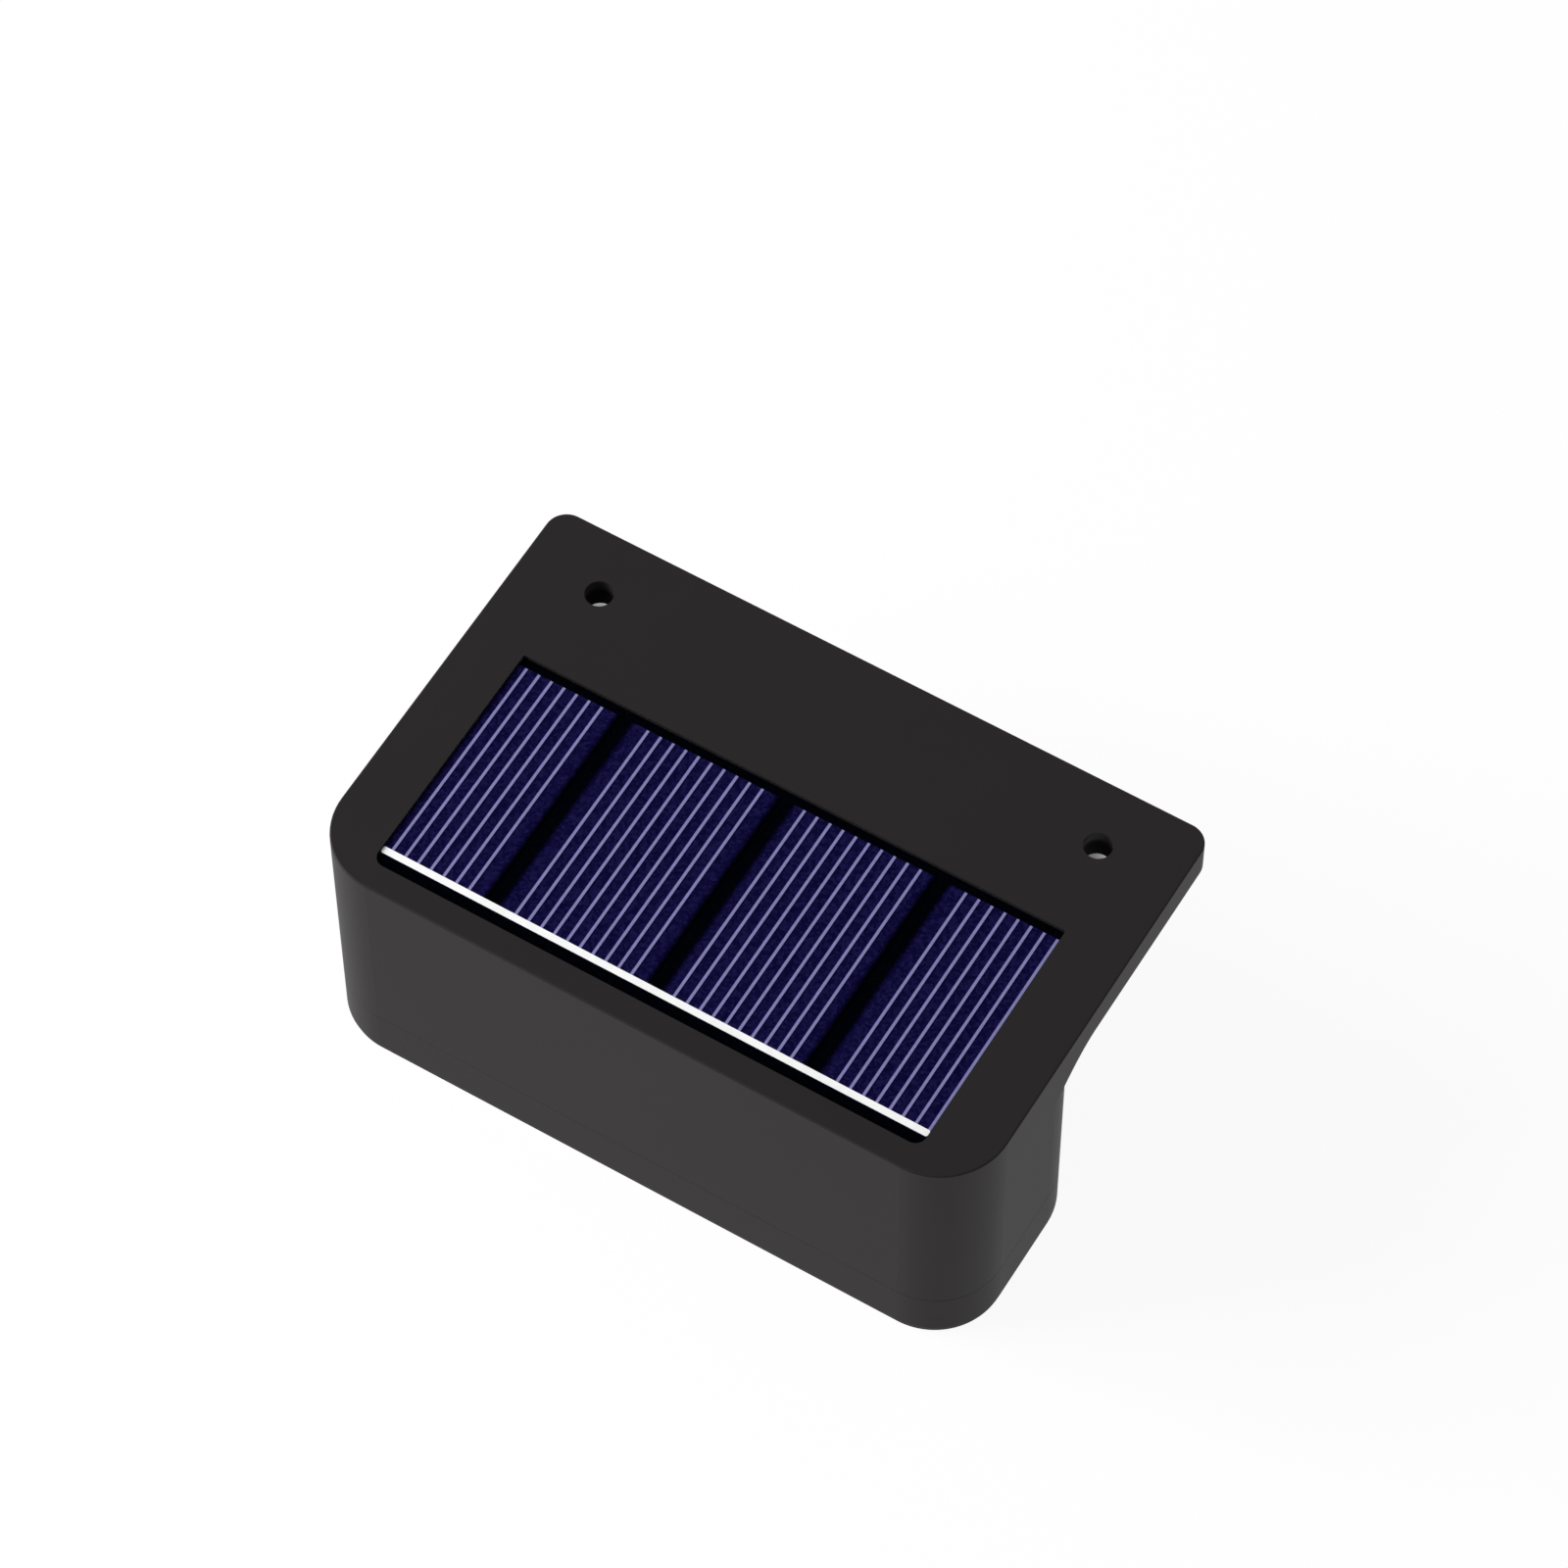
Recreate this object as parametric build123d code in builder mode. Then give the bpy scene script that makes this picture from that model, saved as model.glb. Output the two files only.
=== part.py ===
from build123d import *
import os

os.makedirs("parts", exist_ok=True)

# Solar step light: a flange that lies on a tread, a panel in the roof and a body that hangs in front.
# Frame: origin midway between the flange holes on the flange's underside, +Z up, front towards -Y.

# Housing
width = 115.0
flange_depth = 72.7
body_depth = 37.4
total_height = 48.3
flange_thickness = 6.0
corner_radius = 11.4
flange_rear_radius = 3.5
cove_radius = 5.0
wall = 2.2
roof = 2.2
top_edge_radius = 0.3
seam_chamfer = 0.05

# Flange
flange_hole_diameter = 4.6
flange_hole_spacing = 87.4
flange_hole_rear_margin = 10.5
pocket_depth = 3.5
pocket_rim = 3.0
pocket_rib = 3.0
flange_boss_wall = 3.0
pocket_radius = 1.5

# Solar panel
panel_width = 94.4
panel_shift = -0.35
panel_depth = 42.45
panel_front_margin = 4.4
panel_corner_radius = 1.8
panel_rear_corner_radius = 0.3
panel_clearance = 0.06
panel_sink = 0.1
film_thickness = 0.25
finger_thickness = 0.1
cell_thickness = 0.2
panel_board_thickness = 1.2
panel_tape_thickness = 0.6
panel_tape_width = 6.0
panel_tape_inset = 1.0
panel_front_strip = 2.13
panel_rear_strip = 1.55
busbar_width = 1.14
busbar_end_inset = 0.05
busbar_corner_radius = 0.3
cell_edge_inset = 0.03
cell_gap = 2.2
cell_gap_centres = (-28.6, -0.3, 26.65)
finger_width = 0.45
finger_pitch = 2.235
finger_counts = (7, 10, 10, 8)
finger_starts = (1.47, 3.05, 2.2, 3.15)
finger_rear_gap = 0.1

# Bottom cover
cover_rim_height = 9.8
cover_floor = 2.4
base_edge_radius = 1.2
lip_thickness = 1.2
lip_height = 3.0
lip_clearance = 0.2
gasket_inset = 0.7
gasket_width = 0.9
gasket_height = 1.0
gasket_clearance = 0.05

# Cover screws and their posts
post_inset = 10.0
post_radius = 3.5
post_gap = 0.1
post_bite = 11.0
cover_boss_height = 5.0
screw_radius = 1.45
screw_head_radius = 2.8
screw_head_height = 2.0
screw_head_sink = 0.4
screw_clearance = 0.25
thread_clearance = 0.1
screw_length = 10.0
drive_radius = 1.2
drive_depth = 1.0

# Lens and reflector
lens_gap = 1.0
lens_wall_gap = 0.3
lens_ledge = 2.0
lens_flange = 1.2
lens_clearance = 0.2
lens_sink = 0.4
lens_radius = 2.0
lens_seal_thickness = 0.6
lens_seal_inset = 0.4
reflector_roof = 1.0
reflector_taper = 18.0
reflector_gap = 0.1

# Control board and what is on it
board_thickness = 1.6
board_gap = 2.0
board_edge_gap = 0.7
standoff_height = 8.6
standoff_radius = 2.5
standoff_margin = 3.5
board_screw_radius = 0.95
board_screw_head_radius = 1.9
board_screw_head_height = 1.3
board_screw_length = 5.0
led_count = 6
led_pitch = 10.5
led_length = 3.5
led_depth = 2.8
led_height = 0.8
led_aperture_gap = 0.4
chip_length = 4.9
chip_depth = 3.9
chip_height = 1.5
chip_leg_reach = 1.0
chip_leg_width = 0.4
chip_leg_pitch = 1.27
chip_x = -10.0
inductor_radius = 4.0
inductor_core_radius = 2.4
inductor_height = 6.0
inductor_rim = 1.2
capacitor_radius = 2.5
capacitor_height = 7.0
capacitor_edge_radius = 0.3
part_end_inset = 10.0
part_front_inset = 6.5

# Power button and switch
button_radius = 3.4
button_clearance = 0.3
button_flange_radius = 4.5
button_flange_thickness = 1.0
button_sink = 0.5
button_travel = 1.2
button_seat_gap = 0.1
button_wall_gap = 0.9
button_edge_radius = 0.4
switch_side = 7.0
switch_stop_gap = 0.3
switch_roof = 1.0
plunger_radius = 1.5
plunger_clearance = 0.2

# Battery and cradle
battery_radius = 7.25
battery_length = 50.5
battery_edge_radius = 0.6
battery_clearance = 0.15
battery_seat = 0.3
tab_thickness = 0.3
tab_width = 5.0
tab_height = 5.4
cradle_plate = 2.0
cradle_boss_height = 3.0
cradle_boss_radius = 3.0
cradle_overhang = 13.0
cradle_hole_inset = 4.5
clip_wall = 1.5
clip_length = 9.0
clip_offset = 15.0
clip_mouth_angle = 55.0
cradle_screw_length = 5.5

# Leads
lead_radius = 0.65
lead_pitch = 3.2
lead_bend_radius = 3.5
lead_hole_radius = 3.0
lead_hole_x = 14.0
lead_hole_wall_gap = 1.2
lead_shift = 5.0
lead_tab_reach = 5.0

# Levels and faces worked out from the sizes above
front_y = flange_hole_rear_margin - flange_depth
rear_y = flange_hole_rear_margin
flange_mid_y = (front_y + rear_y) / 2
body_rear_y = front_y + body_depth
body_mid_y = (front_y + body_rear_y) / 2
corner_x = width / 2 - corner_radius
corner_y = body_rear_y - corner_radius
top_z = flange_thickness
base_z = top_z - total_height
seam_z = base_z + cover_rim_height
floor_z = base_z + cover_floor

film_top_z = top_z - panel_sink
finger_top_z = film_top_z - film_thickness
cell_top_z = finger_top_z - finger_thickness
panel_board_top_z = cell_top_z - cell_thickness
panel_board_bottom_z = panel_board_top_z - panel_board_thickness
recess_z = panel_board_bottom_z - panel_tape_thickness
roof_z = recess_z - roof
panel_front_y = front_y + panel_front_margin
panel_rear_y = panel_front_y + panel_depth
panel_mid_y = (panel_front_y + panel_rear_y) / 2
panel_left_x = panel_shift - panel_width / 2
panel_right_x = panel_shift + panel_width / 2
busbar_front_y = panel_front_y + panel_front_strip
busbar_rear_y = busbar_front_y + busbar_width
cell_rear_y = panel_rear_y - panel_rear_strip

cover_wall = wall + lip_clearance + lip_thickness
cover_front_y = front_y + cover_wall
cover_rear_y = body_rear_y - cover_wall

post_x = width / 2 - post_inset
post_y = body_depth / 2 - (post_inset - wall / 2)
cover_boss_z = floor_z + cover_boss_height
post_bottom_z = cover_boss_z + post_gap
screw_seat_z = base_z + screw_head_sink + screw_head_height

button_y = cover_rear_y - button_wall_gap - button_flange_radius
board_half = post_x - post_radius - board_gap
board_front_y = cover_front_y + board_edge_gap
board_rear_y = cover_rear_y - board_edge_gap
board_mid_y = (board_front_y + board_rear_y) / 2
board_bottom_z = floor_z + standoff_height
board_top_z = board_bottom_z + board_thickness
standoff_x = board_half - standoff_margin
standoff_y = (board_rear_y - board_front_y) / 2 - standoff_margin

lens_half = standoff_x - standoff_radius - lens_gap
lens_front_y = cover_front_y + lens_wall_gap
lens_rear_y = button_y - button_flange_radius - lens_gap
lens_mid_y = (lens_front_y + lens_rear_y) / 2
lens_depth = lens_rear_y - lens_front_y
window_length = 2 * (lens_half - lens_ledge)
window_depth = lens_depth - 2 * lens_ledge
lens_flange_z = floor_z + lens_seal_thickness
reflector_z = lens_flange_z + lens_flange
reflector_top_z = board_bottom_z - reflector_gap

button_flange_z = floor_z + button_seat_gap
button_top_z = button_flange_z + button_flange_thickness
switch_z = button_top_z + button_travel + switch_stop_gap
plunger_bore_z = board_bottom_z - switch_roof

cradle_top_z = roof_z - cradle_boss_height
cradle_z = cradle_top_z - cradle_plate
battery_z = cradle_z - battery_seat - battery_clearance - battery_radius
cradle_half = battery_length / 2 + cradle_overhang
cradle_boss_x = cradle_half - cradle_hole_inset
cradle_width = 2 * (battery_radius + battery_clearance + clip_wall)
lead_hole_y = body_rear_y - wall - lead_hole_wall_gap - lead_hole_radius

# The panel's four cells, from left to right, as pairs of left and right edges
cell_lefts = [panel_left_x + cell_edge_inset] + [c + cell_gap / 2 for c in cell_gap_centres]
cell_rights = [c - cell_gap / 2 for c in cell_gap_centres] + [panel_right_x - cell_edge_inset]

# How a box or cylinder sits on its level
standing = (Align.CENTER, Align.CENTER, Align.MIN)
hanging = (Align.CENTER, Align.CENTER, Align.MAX)


def rounded_plan(length, depth, middle, front_radius, rear_radius):
    """Returns a rectangle about middle, with its own radius on the front and on the rear corners."""
    with BuildSketch(mode=Mode.PRIVATE) as plan:
        with Locations(middle):
            Rectangle(length, depth)
        fillet(plan.vertices().group_by(Axis.Y)[0], front_radius)
        fillet(plan.vertices().group_by(Axis.Y)[-1], rear_radius)
    return plan.sketch


def flange_plan():
    """Returns the flange's outline: round in front, nearly square behind."""
    return rounded_plan(width, flange_depth, (0, flange_mid_y), corner_radius, flange_rear_radius)


def body_plan(inset):
    """Returns the body's outline, moved in from the outside by inset."""
    radius = corner_radius - inset
    return rounded_plan(width - 2 * inset, body_depth - 2 * inset, (0, body_mid_y), radius, radius)


def panel_plan(grow):
    """Returns the panel's outline, grown by a clearance, or shrunk where grow is negative."""
    length = panel_width + 2 * grow
    depth = panel_depth + 2 * grow
    front_radius = max(panel_corner_radius + grow, panel_rear_corner_radius)
    return rounded_plan(length, depth, (panel_shift, panel_mid_y), front_radius, panel_rear_corner_radius)


def lead_part(points):
    """Returns a round lead along straight runs that are joined by arcs."""
    with BuildPart() as lead:
        with BuildLine():
            route = FilletPolyline(*points, radius=lead_bend_radius)
        with BuildSketch(Plane(origin=route @ 0, z_dir=route % 0)):
            Circle(lead_radius)
        sweep()
    return lead.part


# Cove under the flange: the quarter round between the body's rear wall and the flange
cove_root = wall / 2
with BuildPart() as cove:
    with BuildSketch(Plane.YZ, mode=Mode.PRIVATE) as cove_section:
        with BuildLine():
            rear_end = (body_rear_y + cove_radius, 0)
            low_end = (body_rear_y, -cove_radius)
            RadiusArc(rear_end, low_end, -cove_radius)
            Polyline(
                low_end,
                (body_rear_y - cove_root, -cove_radius),
                (body_rear_y - cove_root, cove_root),
                (body_rear_y + cove_radius, cove_root),
                rear_end,
            )
        make_face()
    extrude(cove_section.sketch, amount=corner_x, both=True)
    for side in (1, -1):
        with BuildSketch(Plane.YZ.offset(side * corner_x)):
            add(cove_section.sketch_local)
        revolve(axis=Axis((side * corner_x, corner_y, 0), (0, 0, 1)), revolution_arc=-90 * side)
    with BuildSketch(Plane.XY.offset(-cove_radius)):
        add(flange_plan())
    extrude(amount=cove_radius + cove_root, mode=Mode.INTERSECT)

# Top housing: flange, roof and skirt in one moulding
with BuildPart() as top_housing:
    with BuildSketch():
        add(flange_plan())
    extrude(amount=flange_thickness)
    fillet(top_housing.faces().sort_by(Axis.Z)[-1].edges(), top_edge_radius)
    with BuildSketch():
        add(body_plan(0))
    extrude(amount=seam_z)
    add(cove.part)
    chamfer(top_housing.faces().sort_by(Axis.Z)[0].edges(), seam_chamfer)
    with BuildSketch(Plane.XY.offset(seam_z)):
        add(body_plan(wall))
    extrude(amount=roof_z - seam_z, mode=Mode.SUBTRACT)
    with BuildSketch(Plane.XY.offset(recess_z)):
        add(panel_plan(panel_clearance))
    extrude(amount=top_z - recess_z, mode=Mode.SUBTRACT)
    # Pockets in the flange's underside, on both sides of a rib, between the two screw bosses
    pocket_front_y = max(panel_rear_y, body_rear_y + cove_radius) + pocket_rim
    pocket_rear_y = rear_y - pocket_rim
    pocket_end_x = flange_hole_spacing / 2 - flange_hole_diameter / 2 - flange_boss_wall
    pocket_length = pocket_end_x - pocket_rib / 2
    with BuildSketch():
        with Locations((0, (pocket_front_y + pocket_rear_y) / 2)):
            with GridLocations(pocket_length + pocket_rib, 0, 2, 1):
                RectangleRounded(pocket_length, pocket_rear_y - pocket_front_y, pocket_radius)
    extrude(amount=pocket_depth, mode=Mode.SUBTRACT)
    with Locations((0, 0, top_z)):
        with GridLocations(flange_hole_spacing, 0, 2, 1):
            Hole(flange_hole_diameter / 2, depth=flange_thickness)
    # Posts for the cover screws and bosses for the battery cradle
    with BuildSketch(Plane.XY.offset(post_bottom_z)):
        with Locations((0, body_mid_y)):
            with GridLocations(2 * post_x, 2 * post_y, 2, 2):
                Circle(post_radius)
    extrude(amount=roof_z - post_bottom_z)
    with BuildSketch(Plane.XY.offset(cradle_top_z)):
        with Locations((0, body_mid_y)):
            with GridLocations(2 * cradle_boss_x, 0, 2, 1):
                Circle(cradle_boss_radius)
    extrude(amount=roof_z - cradle_top_z)
    with BuildSketch(Plane.XY.offset(post_bottom_z)):
        with Locations((0, body_mid_y)):
            with GridLocations(2 * post_x, 2 * post_y, 2, 2):
                Circle(screw_radius + thread_clearance)
    extrude(amount=post_bite, mode=Mode.SUBTRACT)
    with BuildSketch(Plane.XY.offset(cradle_top_z)):
        with Locations((0, body_mid_y)):
            with GridLocations(2 * cradle_boss_x, 0, 2, 1):
                Circle(board_screw_radius + thread_clearance)
    extrude(amount=cradle_boss_height + roof / 2, mode=Mode.SUBTRACT)
    with Locations((lead_hole_x, lead_hole_y, recess_z)):
        Hole(lead_hole_radius, depth=roof)
top_housing.part.label = "top_housing"
export_step(top_housing.part, "parts/top_housing.step")

# Bottom cover: a tray with a lip that locates inside the skirt
with BuildPart() as bottom_cover:
    with BuildSketch(Plane.XY.offset(base_z)):
        add(body_plan(0))
    extrude(amount=cover_rim_height)
    fillet(bottom_cover.faces().sort_by(Axis.Z)[0].edges(), base_edge_radius)
    chamfer(bottom_cover.faces().sort_by(Axis.Z)[-1].edges(), seam_chamfer)
    with BuildSketch(Plane.XY.offset(seam_z)):
        add(body_plan(wall + lip_clearance))
    extrude(amount=lip_height)
    with BuildSketch(Plane.XY.offset(floor_z)):
        add(body_plan(cover_wall))
    extrude(amount=cover_rim_height - cover_floor + lip_height, mode=Mode.SUBTRACT)
    with BuildSketch(Plane.XY.offset(seam_z)):
        add(body_plan(gasket_inset))
        add(body_plan(gasket_inset + gasket_width), mode=Mode.SUBTRACT)
    extrude(amount=-gasket_height, mode=Mode.SUBTRACT)
    with BuildSketch(Plane.XY.offset(floor_z)):
        with Locations((0, body_mid_y)):
            with GridLocations(2 * post_x, 2 * post_y, 2, 2):
                Circle(post_radius)
    extrude(amount=cover_boss_height)
    with BuildSketch(Plane.XY.offset(floor_z)):
        with Locations((0, board_mid_y)):
            with GridLocations(2 * standoff_x, 2 * standoff_y, 2, 2):
                Circle(standoff_radius)
                Circle(board_screw_radius + thread_clearance, mode=Mode.SUBTRACT)
    extrude(amount=standoff_height)
    with Locations(Plane(origin=(0, body_mid_y, base_z), z_dir=(0, 0, -1))):
        with GridLocations(2 * post_x, 2 * post_y, 2, 2):
            CounterBoreHole(
                radius=screw_radius + screw_clearance,
                counter_bore_radius=screw_head_radius + screw_clearance,
                counter_bore_depth=screw_head_sink + screw_head_height,
                depth=cover_floor + cover_boss_height,
            )
    with BuildSketch(Plane.XY.offset(base_z)):
        with Locations((0, lens_mid_y)):
            RectangleRounded(window_length, window_depth, lens_radius)
        with Locations((0, button_y)):
            Circle(button_radius + button_clearance)
    extrude(amount=cover_floor, mode=Mode.SUBTRACT)
bottom_cover.part.label = "bottom_cover"
export_step(bottom_cover.part, "parts/bottom_cover.step")

# Gasket in the cover's rim
with BuildPart() as cover_gasket:
    with BuildSketch(Plane.XY.offset(seam_z - gasket_height)):
        add(body_plan(gasket_inset + gasket_clearance))
        add(body_plan(gasket_inset + gasket_width - gasket_clearance), mode=Mode.SUBTRACT)
    extrude(amount=gasket_height)
cover_gasket.part.label = "cover_gasket"
export_step(cover_gasket.part, "parts/cover_gasket.step")

# Cover screws, from below
with BuildPart() as cover_screws:
    with Locations((0, body_mid_y, screw_seat_z)):
        with GridLocations(2 * post_x, 2 * post_y, 2, 2):
            Cylinder(screw_head_radius, screw_head_height, align=hanging)
            Cylinder(screw_radius, screw_length, align=standing)
    with BuildSketch(Plane.XY.offset(screw_seat_z - screw_head_height)):
        with Locations((0, body_mid_y)):
            with GridLocations(2 * post_x, 2 * post_y, 2, 2):
                Rectangle(2 * drive_radius, drive_radius / 2)
                Rectangle(drive_radius / 2, 2 * drive_radius)
    extrude(amount=drive_depth, mode=Mode.SUBTRACT)
cover_screws.part.label = "cover_screws"
export_step(cover_screws.part, "parts/cover_screws.step")

# Solar panel: board, tape, cells, printed fingers, busbar and clear film
with BuildPart() as panel_board:
    with BuildSketch(Plane.XY.offset(panel_board_bottom_z)):
        add(panel_plan(0))
    extrude(amount=panel_board_thickness)
panel_board.part.label = "panel_board"
export_step(panel_board.part, "parts/panel_board.step")

with BuildPart() as panel_tape:
    with BuildSketch(Plane.XY.offset(recess_z)):
        add(panel_plan(-panel_tape_inset))
        add(panel_plan(-panel_tape_inset - panel_tape_width), mode=Mode.SUBTRACT)
    extrude(amount=panel_tape_thickness)
panel_tape.part.label = "panel_tape"
export_step(panel_tape.part, "parts/panel_tape.step")

for number, (left, right) in enumerate(zip(cell_lefts, cell_rights), start=1):
    with BuildPart() as solar_cell:
        with BuildSketch(Plane.XY.offset(panel_board_top_z)):
            with Locations(((left + right) / 2, (busbar_front_y + cell_rear_y) / 2)):
                Rectangle(right - left, cell_rear_y - busbar_front_y)
        extrude(amount=cell_thickness)
    solar_cell.part.label = f"solar_cell_{number}"
    export_step(solar_cell.part, f"parts/solar_cell_{number}.step")

with BuildPart() as cell_fingers:
    finger_length = cell_rear_y - finger_rear_gap - busbar_rear_y
    with BuildSketch(Plane.XY.offset(cell_top_z)):
        for left, start, count in zip(cell_lefts, finger_starts, finger_counts):
            first_x = left + start
            for index in range(count):
                with Locations((first_x + index * finger_pitch, busbar_rear_y + finger_length / 2)):
                    Rectangle(finger_width, finger_length)
    extrude(amount=finger_thickness)
cell_fingers.part.label = "cell_fingers"
export_step(cell_fingers.part, "parts/cell_fingers.step")

with BuildPart() as busbar:
    with BuildSketch(Plane.XY.offset(cell_top_z)):
        with Locations((panel_shift, (busbar_front_y + busbar_rear_y) / 2)):
            RectangleRounded(panel_width - 2 * busbar_end_inset, busbar_width, busbar_corner_radius)
    extrude(amount=finger_thickness)
busbar.part.label = "busbar"
export_step(busbar.part, "parts/busbar.step")

with BuildPart() as panel_film:
    with BuildSketch(Plane.XY.offset(finger_top_z)):
        add(panel_plan(0))
    extrude(amount=film_thickness)
panel_film.part.label = "panel_film"
export_step(panel_film.part, "parts/panel_film.step")

# Lens in the cover's window, its seal, and the reflector above it
with BuildPart() as lens:
    with BuildSketch(Plane.XY.offset(lens_flange_z)):
        with Locations((0, lens_mid_y)):
            RectangleRounded(2 * lens_half, lens_depth, lens_radius)
    extrude(amount=lens_flange)
    with BuildSketch(Plane.XY.offset(base_z + lens_sink)):
        with Locations((0, lens_mid_y)):
            RectangleRounded(
                window_length - 2 * lens_clearance,
                window_depth - 2 * lens_clearance,
                lens_radius - lens_clearance,
            )
    extrude(amount=lens_flange_z - base_z - lens_sink)
lens.part.label = "lens"
export_step(lens.part, "parts/lens.step")

with BuildPart() as lens_seal:
    with BuildSketch(Plane.XY.offset(floor_z)):
        with Locations((0, lens_mid_y)):
            RectangleRounded(2 * lens_half, lens_depth, lens_radius)
            RectangleRounded(
                window_length + 2 * lens_seal_inset,
                window_depth + 2 * lens_seal_inset,
                lens_radius,
                mode=Mode.SUBTRACT,
            )
    extrude(amount=lens_seal_thickness)
lens_seal.part.label = "lens_seal"
export_step(lens_seal.part, "parts/lens_seal.step")

with BuildPart() as reflector:
    reflector_height = reflector_top_z - reflector_z
    with BuildSketch(Plane.XY.offset(reflector_z)):
        with Locations((0, lens_mid_y)):
            RectangleRounded(2 * lens_half, lens_depth, lens_radius)
    extrude(amount=reflector_height)
    with BuildSketch(Plane.XY.offset(reflector_z)):
        with Locations((0, lens_mid_y)):
            RectangleRounded(window_length, window_depth, lens_radius)
    extrude(amount=reflector_height - reflector_roof, taper=reflector_taper, mode=Mode.SUBTRACT)
    with BuildSketch(Plane.XY.offset(reflector_top_z)):
        with Locations((0, lens_mid_y)):
            with GridLocations(led_pitch, 0, led_count, 1):
                Rectangle(led_length + 2 * led_aperture_gap, led_depth + 2 * led_aperture_gap)
    extrude(amount=-reflector_roof, mode=Mode.SUBTRACT)
reflector.part.label = "reflector"
export_step(reflector.part, "parts/reflector.step")

# Control board, its screws and the components on it
with BuildPart() as control_board:
    with BuildSketch(Plane.XY.offset(board_bottom_z)):
        with Locations((0, board_mid_y)):
            Rectangle(2 * board_half, board_rear_y - board_front_y)
            with GridLocations(2 * standoff_x, 2 * standoff_y, 2, 2):
                Circle(board_screw_radius + screw_clearance, mode=Mode.SUBTRACT)
    extrude(amount=board_thickness)
control_board.part.label = "control_board"
export_step(control_board.part, "parts/control_board.step")

with BuildPart() as board_screws:
    with Locations((0, board_mid_y, board_top_z)):
        with GridLocations(2 * standoff_x, 2 * standoff_y, 2, 2):
            Cylinder(board_screw_head_radius, board_screw_head_height, align=standing)
            Cylinder(board_screw_radius, board_screw_length, align=hanging)
board_screws.part.label = "board_screws"
export_step(board_screws.part, "parts/board_screws.step")

with BuildPart() as leds:
    with BuildSketch(Plane.XY.offset(board_bottom_z)):
        with Locations((0, lens_mid_y)):
            with GridLocations(led_pitch, 0, led_count, 1):
                Rectangle(led_length, led_depth)
    extrude(amount=-led_height)
leds.part.label = "leds"
export_step(leds.part, "parts/leds.step")

with BuildPart() as driver_chip:
    with Locations((chip_x, board_mid_y, board_top_z)):
        Box(chip_length, chip_depth, chip_height, align=standing)
        with GridLocations(chip_leg_pitch, 0, 4, 1):
            Box(chip_leg_width, chip_depth + 2 * chip_leg_reach, chip_leg_width, align=standing)
driver_chip.part.label = "driver_chip"
export_step(driver_chip.part, "parts/driver_chip.step")

part_end_x = board_half - part_end_inset
part_y = board_front_y + part_front_inset
with BuildPart() as inductor:
    with Locations((-part_end_x, part_y, board_top_z)):
        Cylinder(inductor_core_radius, inductor_height, align=standing)
        Cylinder(inductor_radius, inductor_rim, align=standing)
    with Locations((-part_end_x, part_y, board_top_z + inductor_height)):
        Cylinder(inductor_radius, inductor_rim, align=hanging)
inductor.part.label = "inductor"
export_step(inductor.part, "parts/inductor.step")

with BuildPart() as capacitor:
    with Locations((part_end_x, part_y, board_top_z)):
        Cylinder(capacitor_radius, capacitor_height, align=standing)
    fillet(capacitor.faces().sort_by(Axis.Z)[-1].edges(), capacitor_edge_radius)
capacitor.part.label = "capacitor"
export_step(capacitor.part, "parts/capacitor.step")

# Switch on the board's underside, and the button that pushes its plunger
with BuildPart() as switch_body:
    with Locations((0, button_y, board_bottom_z)):
        Box(switch_side, switch_side, board_bottom_z - switch_z, align=hanging)
    with BuildSketch(Plane.XY.offset(switch_z)):
        with Locations((0, button_y)):
            Circle(plunger_radius + plunger_clearance)
    extrude(amount=plunger_bore_z - switch_z, mode=Mode.SUBTRACT)
switch_body.part.label = "switch_body"
export_step(switch_body.part, "parts/switch_body.step")

with BuildPart() as switch_plunger:
    plunger_top_z = plunger_bore_z - button_travel - switch_stop_gap
    with Locations((0, button_y, button_top_z)):
        Cylinder(plunger_radius, plunger_top_z - button_top_z, align=standing)
switch_plunger.part.label = "switch_plunger"
export_step(switch_plunger.part, "parts/switch_plunger.step")

with BuildPart() as power_button:
    with Locations((0, button_y, base_z + button_sink)):
        Cylinder(button_radius, button_top_z - base_z - button_sink, align=standing)
    fillet(power_button.faces().sort_by(Axis.Z)[0].edges(), button_edge_radius)
    with Locations((0, button_y, button_flange_z)):
        Cylinder(button_flange_radius, button_flange_thickness, align=standing)
power_button.part.label = "power_button"
export_step(power_button.part, "parts/power_button.step")

# Battery, its soldered tabs and the clip cradle under the roof
with BuildPart() as battery:
    with Locations(Location((0, body_mid_y, battery_z), (0, 90, 0))):
        Cylinder(battery_radius, battery_length)
    fillet(battery.edges().filter_by(GeomType.CIRCLE), battery_edge_radius)
battery.part.label = "battery"
export_step(battery.part, "parts/battery.step")

with BuildPart() as battery_tabs:
    with Locations((0, body_mid_y, battery_z)):
        with GridLocations(battery_length + tab_thickness, 0, 2, 1):
            Box(tab_thickness, tab_width, tab_height)
battery_tabs.part.label = "battery_tabs"
export_step(battery_tabs.part, "parts/battery_tabs.step")

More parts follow.
